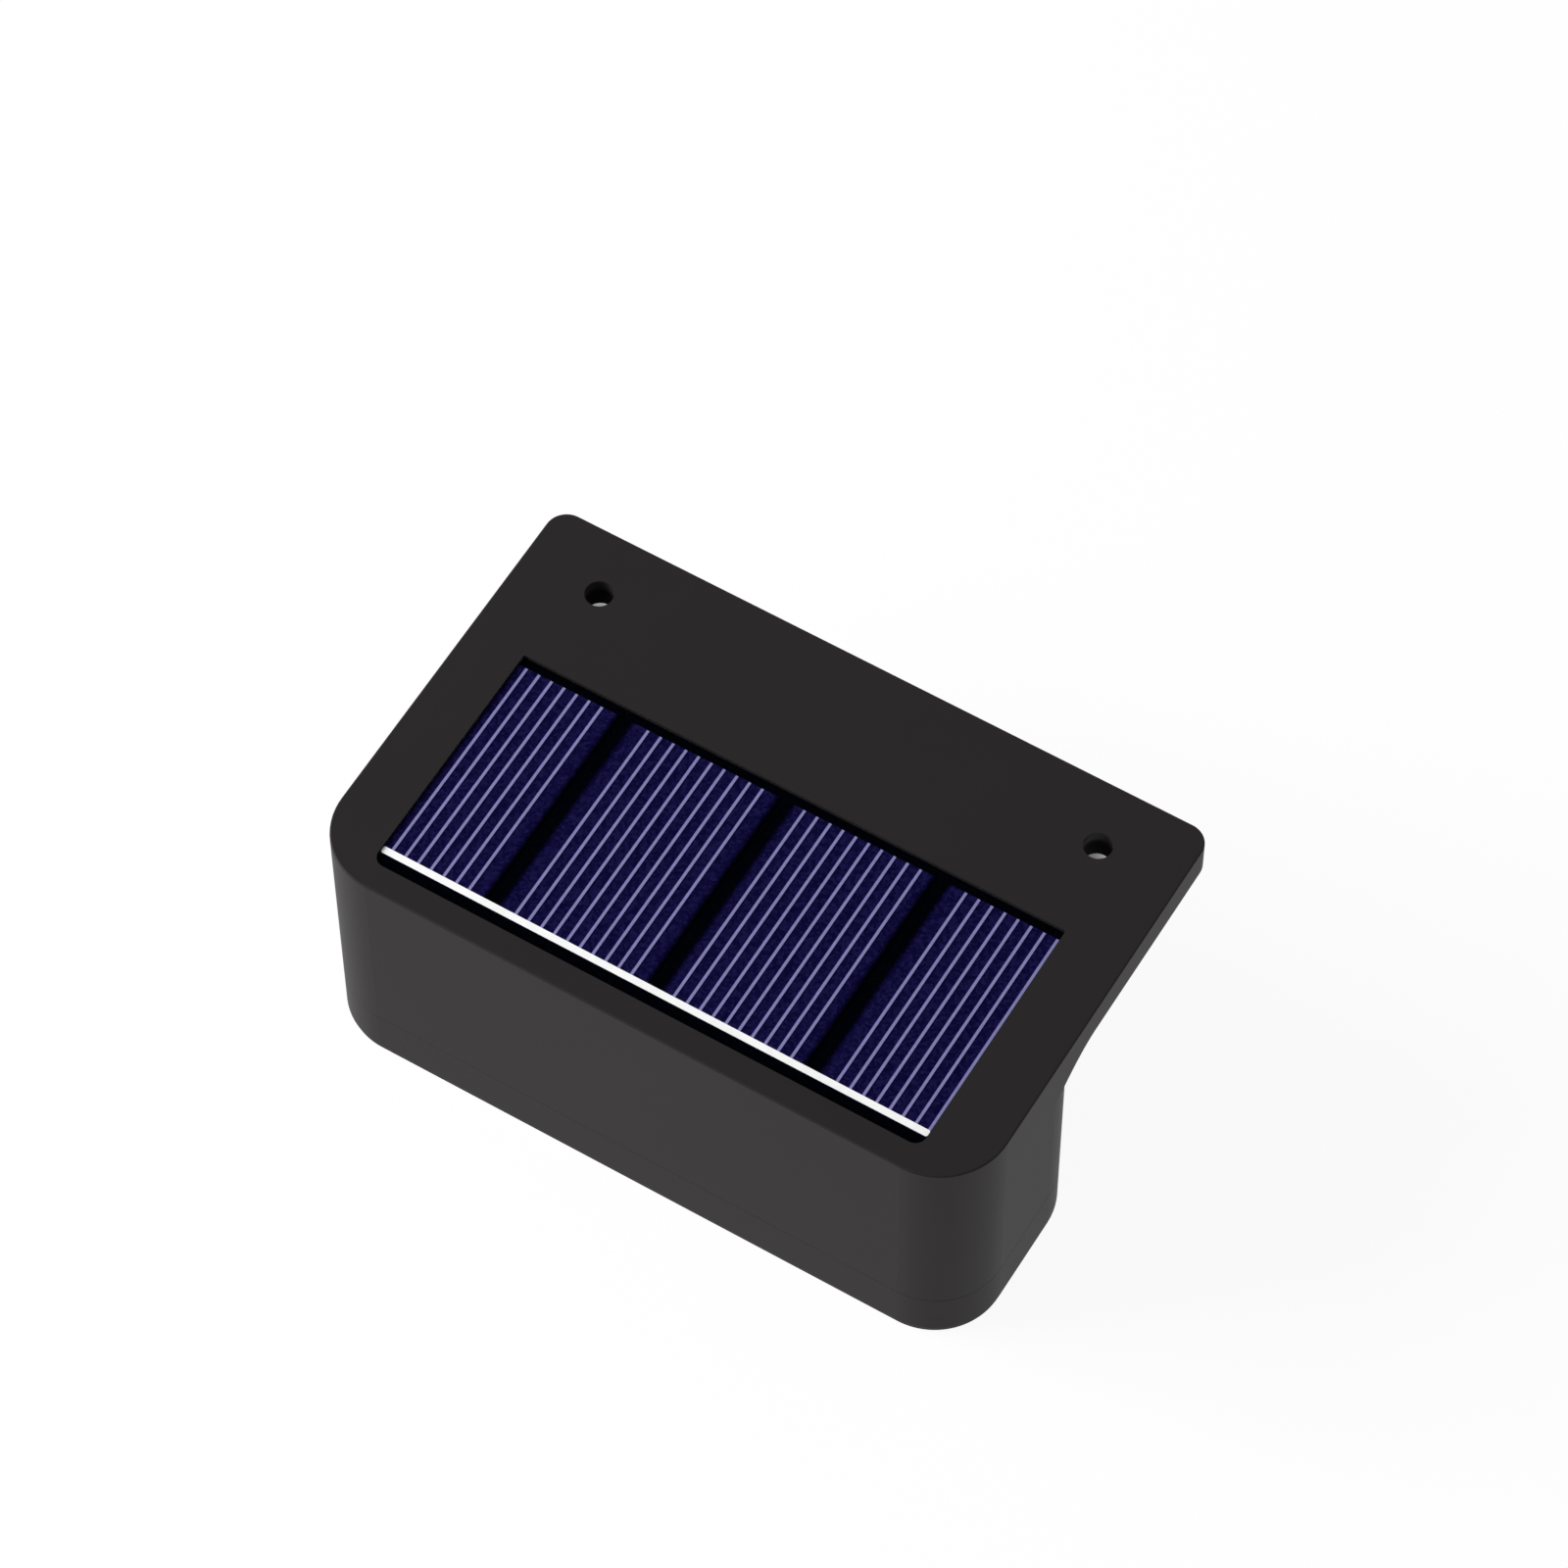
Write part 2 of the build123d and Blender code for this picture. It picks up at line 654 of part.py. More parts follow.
clip_inner = battery_radius + battery_clearance
clip_outer = clip_inner + clip_wall
with BuildPart() as battery_cradle:
    with Locations((0, body_mid_y, cradle_top_z)):
        Box(2 * cradle_half, cradle_width, cradle_plate, align=hanging)
    mouth_left = Vector(0, -2 * clip_outer).rotate(Axis.Z, -clip_mouth_angle)
    mouth_right = Vector(0, -2 * clip_outer).rotate(Axis.Z, clip_mouth_angle)
    for clip_x in (-clip_offset, clip_offset):
        with BuildSketch(Plane.YZ.offset(clip_x)):
            with Locations((body_mid_y, battery_z)):
                Circle(clip_outer)
                Circle(clip_inner, mode=Mode.SUBTRACT)
                Polygon((0, 0), mouth_left, mouth_right, align=None, mode=Mode.SUBTRACT)
        extrude(amount=clip_length / 2, both=True)
    with Locations((0, body_mid_y, cradle_top_z)):
        with GridLocations(2 * cradle_boss_x, 0, 2, 1):
            Hole(board_screw_radius + screw_clearance, depth=cradle_plate)
battery_cradle.part.label = "battery_cradle"
export_step(battery_cradle.part, "parts/battery_cradle.step")

with BuildPart() as cradle_screws:
    with Locations((0, body_mid_y, cradle_z)):
        with GridLocations(2 * cradle_boss_x, 0, 2, 1):
            Cylinder(board_screw_head_radius, board_screw_head_height, align=hanging)
            Cylinder(board_screw_radius, cradle_screw_length, align=standing)
cradle_screws.part.label = "cradle_screws"
export_step(cradle_screws.part, "parts/cradle_screws.step")

# Leads from the battery's tabs and from the panel to the control board
tab_x = battery_length / 2 + tab_thickness
for colour, side in (("red", 1), ("black", -1)):
    drop_x = side * (tab_x + lead_tab_reach)
    battery_lead = lead_part(
        [
            (side * tab_x, body_mid_y, battery_z),
            (drop_x, body_mid_y, battery_z),
            (drop_x, body_mid_y, board_top_z),
        ]
    )
    battery_lead.label = f"battery_lead_{colour}"
    export_step(battery_lead, f"parts/battery_lead_{colour}.step")

    start_x = lead_hole_x + side * lead_pitch / 2
    jog_z = roof_z - lead_shift
    panel_lead = lead_part(
        [
            (start_x, lead_hole_y, panel_board_bottom_z),
            (start_x, lead_hole_y, jog_z),
            (start_x + lead_shift, lead_hole_y, jog_z - lead_shift),
            (start_x + lead_shift, lead_hole_y, board_top_z),
        ]
    )
    panel_lead.label = f"panel_lead_{colour}"
    export_step(panel_lead, f"parts/panel_lead_{colour}.step")
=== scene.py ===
"""Looks of the solar step light: finishes for every piece, detail meshes, stage, lamps and camera."""

import logging
import math
from dataclasses import dataclass, replace
from enum import Enum
from typing import Callable, Sequence

import bmesh
import bpy
from mathutils import Euler, Matrix, Vector


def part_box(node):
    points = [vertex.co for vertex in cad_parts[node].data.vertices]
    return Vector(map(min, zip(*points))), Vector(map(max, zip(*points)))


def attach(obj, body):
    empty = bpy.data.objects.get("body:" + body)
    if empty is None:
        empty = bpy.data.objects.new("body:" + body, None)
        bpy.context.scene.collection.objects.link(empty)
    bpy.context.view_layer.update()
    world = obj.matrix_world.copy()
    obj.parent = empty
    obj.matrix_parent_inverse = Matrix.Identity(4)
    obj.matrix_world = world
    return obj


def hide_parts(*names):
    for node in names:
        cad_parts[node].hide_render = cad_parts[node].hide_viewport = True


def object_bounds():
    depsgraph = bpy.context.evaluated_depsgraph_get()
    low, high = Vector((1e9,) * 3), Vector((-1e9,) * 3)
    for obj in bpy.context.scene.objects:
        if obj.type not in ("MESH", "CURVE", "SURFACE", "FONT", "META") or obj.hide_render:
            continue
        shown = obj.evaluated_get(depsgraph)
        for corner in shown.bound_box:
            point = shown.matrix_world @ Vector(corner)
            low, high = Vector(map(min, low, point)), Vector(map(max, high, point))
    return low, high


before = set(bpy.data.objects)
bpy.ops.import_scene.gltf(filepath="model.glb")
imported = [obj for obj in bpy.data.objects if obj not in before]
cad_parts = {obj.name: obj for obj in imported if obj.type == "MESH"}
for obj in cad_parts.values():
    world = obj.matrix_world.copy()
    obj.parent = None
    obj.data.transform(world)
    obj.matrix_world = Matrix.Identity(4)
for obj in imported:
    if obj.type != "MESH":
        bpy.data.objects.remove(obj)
CAD_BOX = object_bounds()

MM = 0.001
LOG = logging.getLogger("step_light")

Colour = tuple[float, float, float]
Point = tuple[float, float]
Piece = bpy.types.Object
Mesh = bmesh.types.BMesh
Socket = bpy.types.NodeSocket
Sockets = dict[str, Socket]
Value = float | Sequence[float] | Socket
Values = dict[str, Value]
Inputs = dict[str | int, Value]
Relief = Callable[[float], float]

BLACK: Colour = (0.0, 0.0, 0.0)
WHITE: Colour = (1.0, 1.0, 1.0)
IN_PLAN = (1.0, 1.0, 0.0)
ORIGIN = (0.0, 0.0, 0.0)


class Body(Enum):
    """The two bodies that pieces ride on."""

    HOUSING = "housing"
    BUTTON = "button"


class Axis(Enum):
    """Axes of the part's frame, as the outputs of a Separate XYZ node."""

    ACROSS = "X"
    DEPTH = "Y"
    UP = "Z"


class PortKind(Enum):
    """Kinds of socket on a shared effect."""

    VALUE = "NodeSocketFloat"
    COLOUR = "NodeSocketColor"

    @classmethod
    def of(cls, name: str) -> "PortKind":
        """Returns the kind of a socket by its name: names that end in Colour are colours."""
        return cls.COLOUR if name.endswith("Colour") else cls.VALUE


# Shader trees

MIX_FACTOR, MIX_FIRST, MIX_SECOND, MIX_RESULT = 0, 6, 7, 2


class Tree:
    """One shader node tree, with short ways to add nodes and join them."""

    def __init__(self, tree: bpy.types.NodeTree) -> None:
        """Keeps the tree that nodes are added to."""
        self.tree = tree

    def feed(self, socket: Socket, value: Value) -> None:
        """Sets a socket to a value, or links a source socket to it.

        Args:
            socket: the input to fill.
            value: a number, a colour of three parts, a vector, or an output of another node.
        """
        if isinstance(value, Socket):
            self.tree.links.new(value, socket)
        elif socket.type == "RGBA":
            socket.default_value = (*value, 1.0)
        else:
            socket.default_value = value

    def fill(self, node: bpy.types.Node, inputs: Inputs) -> None:
        """Feeds several inputs of a node, by name or place."""
        for key, value in inputs.items():
            self.feed(node.inputs[key], value)

    def node(self, kind: str, inputs: Inputs | None = None, **settings: object) -> bpy.types.Node:
        """Adds a node.

        Args:
            kind: Blender's type name after "ShaderNode".
            inputs: values for the node's inputs, by name or place.
            settings: properties of the node itself.

        Returns:
            The new node.
        """
        node = self.tree.nodes.new("ShaderNode" + kind)
        for name, setting in settings.items():
            setattr(node, name, setting)
        self.fill(node, inputs or {})
        return node

    def math(self, operation: str, *values: Value) -> Socket:
        """Returns the result of one operation on values."""
        return self.node("Math", dict(enumerate(values)), operation=operation).outputs[0]

    def vector(self, operation: str, *vectors: Value, result: str = "Vector") -> Socket:
        """Returns the result of one operation on vectors: a "Vector", or a "Value" such as a length."""
        return self.node("VectorMath", dict(enumerate(vectors)), operation=operation).outputs[result]

    def mix(self, factor: Value, first: Value, second: Value, blend: str = "MIX") -> Socket:
        """Returns a mix of two colours."""
        inputs = {MIX_FACTOR: factor, MIX_FIRST: first, MIX_SECOND: second}
        return self.node("Mix", inputs, data_type="RGBA", blend_type=blend).outputs[MIX_RESULT]

    def span(self, value: Value, low: Value, high: Value, start: Value = 0.0, end: Value = 1.0) -> Socket:
        """Returns value moved from the span low to high into the span start to end, with soft ends."""
        inputs = {"Value": value, "From Min": low, "From Max": high, "To Min": start, "To Max": end}
        return self.node("MapRange", inputs, interpolation_type="SMOOTHSTEP").outputs["Result"]

    def place(self) -> Socket:
        """Returns the place on the surface in the part's frame, in metres."""
        return self.node("TexCoord").outputs["Object"]

    def along(self, axis: Axis) -> Socket:
        """Returns the place along one axis of the part's frame, in metres."""
        return self.node("SeparateXYZ", {"Vector": self.place()}).outputs[axis.value]

    def scale(self, size: Value) -> Socket:
        """Returns the scale of a texture whose spots have that size, in millimetres."""
        return self.math("DIVIDE", 1.0 / MM, size)

    def noise(self, size: Value, detail: float = 2.0, stretch: Sequence[float] | None = None) -> Socket:
        """Adds a noise.

        Args:
            size: size of a spot, in millimetres.
            detail: octaves of finer noise.
            stretch: factors along the three axes, for streaks.

        Returns:
            The noise's value, about 0.5 on average.
        """
        where = self.place()
        if stretch is not None:
            where = self.node("Mapping", {"Vector": where, "Scale": stretch}).outputs["Vector"]
        inputs = {"Vector": where, "Scale": self.scale(size), "Detail": detail}
        return self.node("TexNoise", inputs).outputs["Fac"]

    def bump(self, height: Value, depth: float) -> Socket:
        """Returns a normal that follows a height, to that depth in millimetres."""
        return self.node("Bump", {"Height": height, "Distance": depth * MM}).outputs["Normal"]


# Effects that several finishes share


@dataclass(frozen=True)
class Effect:
    """A shader node group that is built once and placed in each finish with its own values."""

    name: str
    inputs: tuple[str, ...]
    outputs: tuple[str, ...]
    wire: Callable[[Tree, Sockets], Values]

    def group(self) -> bpy.types.NodeTree:
        """Builds the effect's node group the first time it is asked for.

        Returns:
            The group.
        """
        found = bpy.data.node_groups.get(self.name)
        if found is not None:
            return found
        group = bpy.data.node_groups.new(self.name, "ShaderNodeTree")
        for side, names in (("INPUT", self.inputs), ("OUTPUT", self.outputs)):
            for name in names:
                group.interface.new_socket(name, in_out=side, socket_type=PortKind.of(name).value)
        entry = group.nodes.new("NodeGroupInput")
        leave = group.nodes.new("NodeGroupOutput")
        tree = Tree(group)
        tree.fill(leave, self.wire(tree, {name: entry.outputs[name] for name in self.inputs}))
        return group

    def add(self, tree: Tree, *values: Value) -> Sockets:
        """Places the effect in a tree with its inputs' values in order; returns its outputs by name."""
        node = tree.node("Group", dict(enumerate(values)), node_tree=self.group())
        return {name: node.outputs[name] for name in self.outputs}


BROAD_SPOT = 14.0
BROAD_DETAIL = 1.0
FINE_DETAIL = 3.0
NOISE_MIDDLE = 0.5
STREAK_STRETCH = (1.0, 0.08, 1.0)
STREAK_SHADE: Colour = (0.72, 0.72, 0.72)


def uneven_gloss(tree: Tree, noise: Socket, given: Sockets) -> Socket:
    """Returns a roughness that swings with a noise, about the roughness that is given."""
    swing = tree.math("SUBTRACT", noise, NOISE_MIDDLE)
    return tree.math("ADD", given["Roughness"], tree.math("MULTIPLY", swing, given["Roughness Spread"]))


def wire_grain(tree: Tree, given: Sockets) -> Values:
    """Wires fine mould grain with a broad, faint change of tone.

    Args:
        tree: the effect's tree.
        given: the effect's inputs.

    Returns:
        A source for each of the effect's outputs.
    """
    fine = tree.noise(given["Size"])
    broad = tree.noise(BROAD_SPOT, BROAD_DETAIL)
    swing = tree.math("MULTIPLY_ADD", broad, given["Tone Spread"], 1.0)
    centred = tree.math("SUBTRACT", swing, tree.math("MULTIPLY", given["Tone Spread"], NOISE_MIDDLE))
    scaled = tree.node("VectorMath", {0: given["Colour"], "Scale": centred}, operation="SCALE")
    return {"Colour": scaled.outputs[0], "Roughness": uneven_gloss(tree, fine, given), "Height": fine}


def wire_streaks(tree: Tree, given: Sockets) -> Values:
    """Wires the fine streaks of drawn or brushed metal.

    Args:
        tree: the effect's tree.
        given: the effect's inputs.

    Returns:
        A source for each of the effect's outputs.
    """
    lines = tree.noise(given["Size"], FINE_DETAIL, STREAK_STRETCH)
    dark = tree.mix(1.0, given["Colour"], STREAK_SHADE, blend="MULTIPLY")
    colour = tree.mix(lines, dark, given["Colour"])
    return {"Colour": colour, "Roughness": uneven_gloss(tree, lines, given), "Height": lines}


def wire_flecks(tree: Tree, given: Sockets) -> Values:
    """Wires a mosaic of small flecks whose tone changes from one to the next.

    Args:
        tree: the effect's tree.
        given: the effect's inputs.

    Returns:
        A source for each of the effect's outputs.
    """
    cells = tree.node("TexVoronoi", {"Vector": tree.place(), "Scale": tree.scale(given["Size"])})
    tone = tree.node("SeparateColor", {"Color": cells.outputs["Color"]}).outputs["Red"]
    mask = tree.math("POWER", tone, given["Sharpness"])
    colour = tree.mix(mask, given["Colour"], given["Fleck Colour"])
    return {"Colour": colour, "Height": cells.outputs["Distance"]}


def wire_band(tree: Tree, given: Sockets) -> Values:
    """Wires a mask that is 1 between two places and fades over a soft edge outside them.

    Args:
        tree: the effect's tree.
        given: the effect's inputs.

    Returns:
        A source for the effect's mask.
    """
    below = tree.math("SUBTRACT", given["Low"], given["Soft"])
    above = tree.math("ADD", given["High"], given["Soft"])
    rise = tree.span(given["Place"], below, given["Low"])
    fall = tree.span(given["Place"], given["High"], above, 1.0, 0.0)
    return {"Mask": tree.math("MULTIPLY", rise, fall)}


GRAIN = Effect(
    "mould_grain",
    ("Colour", "Size", "Tone Spread", "Roughness", "Roughness Spread"),
    ("Colour", "Roughness", "Height"),
    wire_grain,
)
STREAKS = Effect(
    "metal_streaks",
    ("Colour", "Size", "Roughness", "Roughness Spread"),
    ("Colour", "Roughness", "Height"),
    wire_streaks,
)
FLECKS = Effect(
    "flecks", ("Colour", "Fleck Colour", "Size", "Sharpness"), ("Colour", "Height"), wire_flecks
)
BAND = Effect("band", ("Place", "Low", "High", "Soft"), ("Mask",), wire_band)


# Finishes

MOULD_TONE_SPREAD = 0.1
MOULD_GLOSS_SPREAD = 0.08
METAL_GLOSS_SPREAD = 0.2


@dataclass(frozen=True)
class Finish:
    """What every finish has: the record's slot, a colour, a roughness and a strength of gloss.

    Two finishes in one slot differ in their variant, which ends the material's name.
    """

    slot: str
    colour: Colour
    roughness: float
    specular: float = 0.5
    variant: str = "dressed"

    def material(self) -> bpy.types.Material:
        """Builds the finish's material the first time it is asked for.

        Returns:
            The material.
        """
        name = f"{self.slot}_{self.variant}"
        found = bpy.data.materials.get(name)
        if found is not None:
            return found
        material = bpy.data.materials.new(name)
        material.use_nodes = True
        material.diffuse_color = (*self.colour, 1.0)
        shader = material.node_tree.nodes["Principled BSDF"]
        tree = Tree(material.node_tree)
        tree.fill(shader, {"Roughness": self.roughness, "Specular IOR Level": self.specular})
        tree.fill(shader, self.wire(tree))
        return material

    def wire(self, tree: Tree) -> Values:
        """Returns a value or source for each shader input that the finish sets; each kind has its way."""
        raise NotImplementedError


@dataclass(frozen=True)
class Moulded(Finish):
    """Moulded plastic or rubber with the mould's fine grain."""

    grain: float = 0.16
    grain_depth: float = 0.006
    tone_spread: float = MOULD_TONE_SPREAD
    roughness_spread: float = MOULD_GLOSS_SPREAD
    sheen_tint: Colour = WHITE

    def wire(self, tree: Tree) -> Values:
        """Returns the shader's inputs: grain, tone and gloss."""
        grain = GRAIN.add(
            tree, self.colour, self.grain, self.tone_spread, self.roughness, self.roughness_spread
        )
        return {
            "Base Color": grain["Colour"],
            "Roughness": grain["Roughness"],
            "Specular Tint": self.sheen_tint,
            "Normal": tree.bump(grain["Height"], self.grain_depth),
        }


@dataclass(frozen=True)
class BoredMoulding(Moulded):
    """A moulding whose screw holes are rougher inside, with painted shade darkening their walls below the
    rim.
    """

    # Share of painted shade: how far the bores' walls are darkened towards black.
    painted_shade_share: float = 0.0
    bores: tuple[Point, ...] = ()
    bore_radius: float = 0.0
    bore_soft: float = 0.02
    bore_top: float = 0.0
    rim_depth: float = 0.0

    def shade_and_roughness_mask(self, tree: Tree) -> Socket:
        """Adds a mask for painted shade and roughness, growing from 0 at the rim of each bore to 1 below
        its lit rim.

        Args:
            tree: the material's tree.

        Returns:
            The mask.
        """
        flat = tree.vector("MULTIPLY", tree.place(), IN_PLAN)
        mask: Value = 0.0
        for x, y in self.bores:
            gap = tree.vector("DISTANCE", flat, (x, y, 0.0), result="Value")
            inside = tree.span(gap, self.bore_radius, self.bore_radius + self.bore_soft * MM, 1.0, 0.0)
            mask = tree.math("MAXIMUM", mask, inside)
        deep = tree.span(tree.along(Axis.UP), self.bore_top, self.bore_top - self.rim_depth)
        return tree.math("MULTIPLY", mask, deep)

    def wire(self, tree: Tree) -> Values:
        """Adds painted shade and more roughness to the bores' walls of the plain moulding.

        Args:
            tree: the material's tree.

        Returns:
            Values and sources for the shader's inputs.
        """
        found = super().wire(tree)
        shade_and_roughness_mask = self.shade_and_roughness_mask(tree)
        # Painted shade: the bore walls' colour is mixed towards black by the mask.
        shade = tree.math("MULTIPLY", shade_and_roughness_mask, self.painted_shade_share)
        found["Base Color"] = tree.mix(shade, found["Base Color"], BLACK)
        found["Roughness"] = tree.math("MAXIMUM", found["Roughness"], shade_and_roughness_mask)
        return found


@dataclass(frozen=True)
class Metal(Finish):
    """Drawn or plated metal with fine streaks."""

    streak: float = 0.12
    streak_depth: float = 0.004
    roughness_spread: float = METAL_GLOSS_SPREAD

    def wire(self, tree: Tree) -> Values:
        """Returns the shader's inputs: streaks and the metal's gloss."""
        streaks = STREAKS.add(tree, self.colour, self.streak, self.roughness, self.roughness_spread)
        return {
            "Metallic": 1.0,
            "Base Color": streaks["Colour"],
            "Roughness": streaks["Roughness"],
            "Normal": tree.bump(streaks["Height"], self.streak_depth),
        }


@dataclass(frozen=True)
class Flecked(Finish):
    """Foam or phosphor: a base colour broken by small flecks."""

    fleck_colour: Colour = (0.5, 0.5, 0.5)
    fleck: float = 0.3
    sharpness: float = 2.0
    fleck_depth: float = 0.03

    def wire(self, tree: Tree) -> Values:
        """Returns the shader's inputs: the flecks and their relief."""
        flecks = FLECKS.add(tree, self.colour, self.fleck_colour, self.fleck, self.sharpness)
        return {"Base Color": flecks["Colour"], "Normal": tree.bump(flecks["Height"], self.fleck_depth)}


@dataclass(frozen=True)
class Silicon(Flecked):
    """Blue silicon with a fine mottle, darker along the gaps between the cells."""

    fleck_colour: Colour = (0.0105, 0.0084, 0.060)
    fleck: float = 0.42
    sharpness: float = 1.6
    fleck_depth: float = 0.003
    gaps: tuple[Point, ...] = ()
    gap_fade: float = 1.1
    gap_shade: float = 0.9

    def wire(self, tree: Tree) -> Values:
        """Adds the shade beside each gap to the mottle.

        Args:
            tree: the material's tree.

        Returns:
            Sources for the shader's inputs.
        """
        found = super().wire(tree)
        for low, high in self.gaps:
            near = BAND.add(tree, tree.along(Axis.ACROSS), low, high, self.gap_fade * MM)["Mask"]
            shade = tree.math("MULTIPLY", near, self.gap_shade)
            found["Base Color"] = tree.mix(shade, found["Base Color"], BLACK)
        return found


@dataclass(frozen=True)
class Printed(Finish):
    """A printed or laminated strip, slightly uneven along its length."""

    second_colour: Colour = BLACK
    spot: float = 0.5
    noise_span: Point = (0.35, 0.65)
    print_depth: float = 0.003

    def wire(self, tree: Tree) -> Values:
        """Returns the shader's inputs: the print's uneven tone."""
        uneven = tree.noise(self.spot, FINE_DETAIL)
        colour = tree.mix(tree.span(uneven, *self.noise_span), self.colour, self.second_colour)
        return {"Base Color": colour, "Normal": tree.bump(uneven, self.print_depth)}


@dataclass(frozen=True)
class ClearFilm(Finish):
    """A thin clear film: nearly all of what is under it shows."""

    cover: Point = (0.008, 0.02)
    noise_span: Point = (0.3, 0.7)
    haze_spot: float = 6.0

    def wire(self, tree: Tree) -> Values:
        """Returns the shader's inputs: the film's faint, uneven haze."""
        haze = tree.noise(self.haze_spot)
        tint = tree.mix(haze, self.colour, BLACK)
        return {"Base Color": tint, "Alpha": tree.span(haze, *self.noise_span, *self.cover)}


@dataclass(frozen=True)
class Frosted(Finish):
    """Frosted clear plastic that spreads the light behind it."""

    clearness: float = 0.82
    refraction: float = 1.49
    frost: float = 0.2
    frost_depth: float = 0.01

    def wire(self, tree: Tree) -> Values:
        """Returns the shader's inputs: clear plastic with the frost's grain."""
        frost = tree.noise(self.frost, FINE_DETAIL)
        return {
            "Base Color": tree.mix(frost, self.colour, WHITE),
            "Transmission Weight": self.clearness,
            "IOR": self.refraction,
            "Normal": tree.bump(frost, self.frost_depth),
        }


@dataclass(frozen=True)
class CircuitBoard(Finish):
    """Solder mask over copper tracks, with bare tinned spots."""

    track_colour: Colour = (0.03, 0.24, 0.09)
    spot_colour: Colour = (0.62, 0.58, 0.5)
    track_pitch: float = 3.4
    track_share: float = 0.09
    track_soft: float = 0.2
    spot_pitch: float = 2.6
    spot_radius: float = 0.16
    spot_edge: float = 1.2
    track_depth: float = 0.035

    def wire(self, tree: Tree) -> Values:
        """Adds tracks and tinned spots.

        Args:
            tree: the material's tree.

        Returns:
            Sources for the shader's inputs.
        """
        brick_inputs = {
            "Vector": tree.place(),
            "Scale": 1.0 / (self.track_pitch * MM),
            "Mortar Size": self.track_share,
            "Mortar Smooth": self.track_soft,
        }
        tracks = tree.node("TexBrick", brick_inputs).outputs["Fac"]
        spots = tree.node("TexVoronoi", {"Vector": tree.place(), "Scale": 1.0 / (self.spot_pitch * MM)})
        outside = self.spot_radius * self.spot_edge
        spot = tree.span(spots.outputs["Distance"], self.spot_radius, outside, 1.0, 0.0)
        masked = tree.mix(tracks, self.colour, self.track_colour)
        return {
            "Base Color": tree.mix(spot, masked, self.spot_colour),
            "Metallic": spot,
            "Normal": tree.bump(tree.math("MAXIMUM", tracks, spot), self.track_depth),
        }


@dataclass(frozen=True)
class Banded(Finish):
    """Two finishes on one solid, parted at two places along an axis."""

    axis: Axis = Axis.ACROSS
    low: float = 0.0
    high: float = 0.0
    soft: float = 0.04
    end_colour: Colour = (0.5, 0.5, 0.5)
    end_roughness: float = 0.3
    end_metallic: float = 1.0
    grain: float = 0.25
    grain_depth: float = 0.004

    def within(self, box: tuple[Vector, Vector], start: float, end: float) -> "Banded":
        """Returns the finish with its middle set in from the two ends of a box along its axis."""
        low, high = (getattr(corner, self.axis.value.lower()) for corner in box)
        return replace(self, low=low + start, high=high - end)

    def wire(self, tree: Tree) -> Values:
        """Adds the middle's plastic and the ends' metal.

        Args:
            tree: the material's tree.

        Returns:
            Sources for the shader's inputs.
        """
        middle = BAND.add(tree, tree.along(self.axis), self.low, self.high, self.soft * MM)["Mask"]
        plastic = GRAIN.add(
            tree, self.colour, self.grain, MOULD_TONE_SPREAD, self.roughness, MOULD_GLOSS_SPREAD
        )
        metal = STREAKS.add(tree, self.end_colour, self.grain, self.end_roughness, METAL_GLOSS_SPREAD)
        return {
            "Base Color": tree.mix(middle, metal["Colour"], plastic["Colour"]),
            "Metallic": tree.span(middle, 0.0, 1.0, self.end_metallic, 0.0),
            "Roughness": tree.span(middle, 0.0, 1.0, metal["Roughness"], plastic["Roughness"]),
            "Normal": tree.bump(plastic["Height"], self.grain_depth),
        }


# Mesh work

DOWNWARD, OUTWARD = -90.0, 0.0


def arc(centre: Point, radius: float, start: float, end: float, steps: int) -> list[Point]:
    """Returns points on an arc of a profile, between two angles in degrees from outward towards up."""
    angles = [math.radians(start + (end - start) * step / steps) for step in range(steps + 1)]
    return [(centre[0] + radius * math.cos(a), centre[1] + radius * math.sin(a)) for a in angles]


def lathe(profile: Sequence[Point], segments: int, ring: bool = False) -> Mesh:
    """Turns a profile round the Z axis into a closed mesh.

    Args:
        profile: radius and height of each point; it starts and ends on the axis unless ring is true.
        segments: number of steps round the axis.
        ring: the profile is a closed loop that stays off the axis.

    Returns:
        The turned mesh.
    """
    mesh = bmesh.new()
    turns = [2.0 * math.pi * step / segments for step in range(segments)]
    rows = []
    for radius, height in profile:
        angles = turns if radius > 0.0 else turns[:1]
        rows.append([mesh.verts.new((radius * math.cos(a), radius * math.sin(a), height)) for a in angles])
    pairs = list(zip(rows, rows[1:]))
    if ring:
        pairs.append((rows[-1], rows[0]))
    for low, high in pairs:
        for step in range(segments):
            after = (step + 1) % segments
            order = ((low, step), (low, after), (high, after), (high, step))
            corners = [row[place % len(row)] for row, place in order]
            mesh.faces.new(list(dict.fromkeys(corners)))
    bmesh.ops.recalc_face_normals(mesh, faces=mesh.faces)
    return mesh


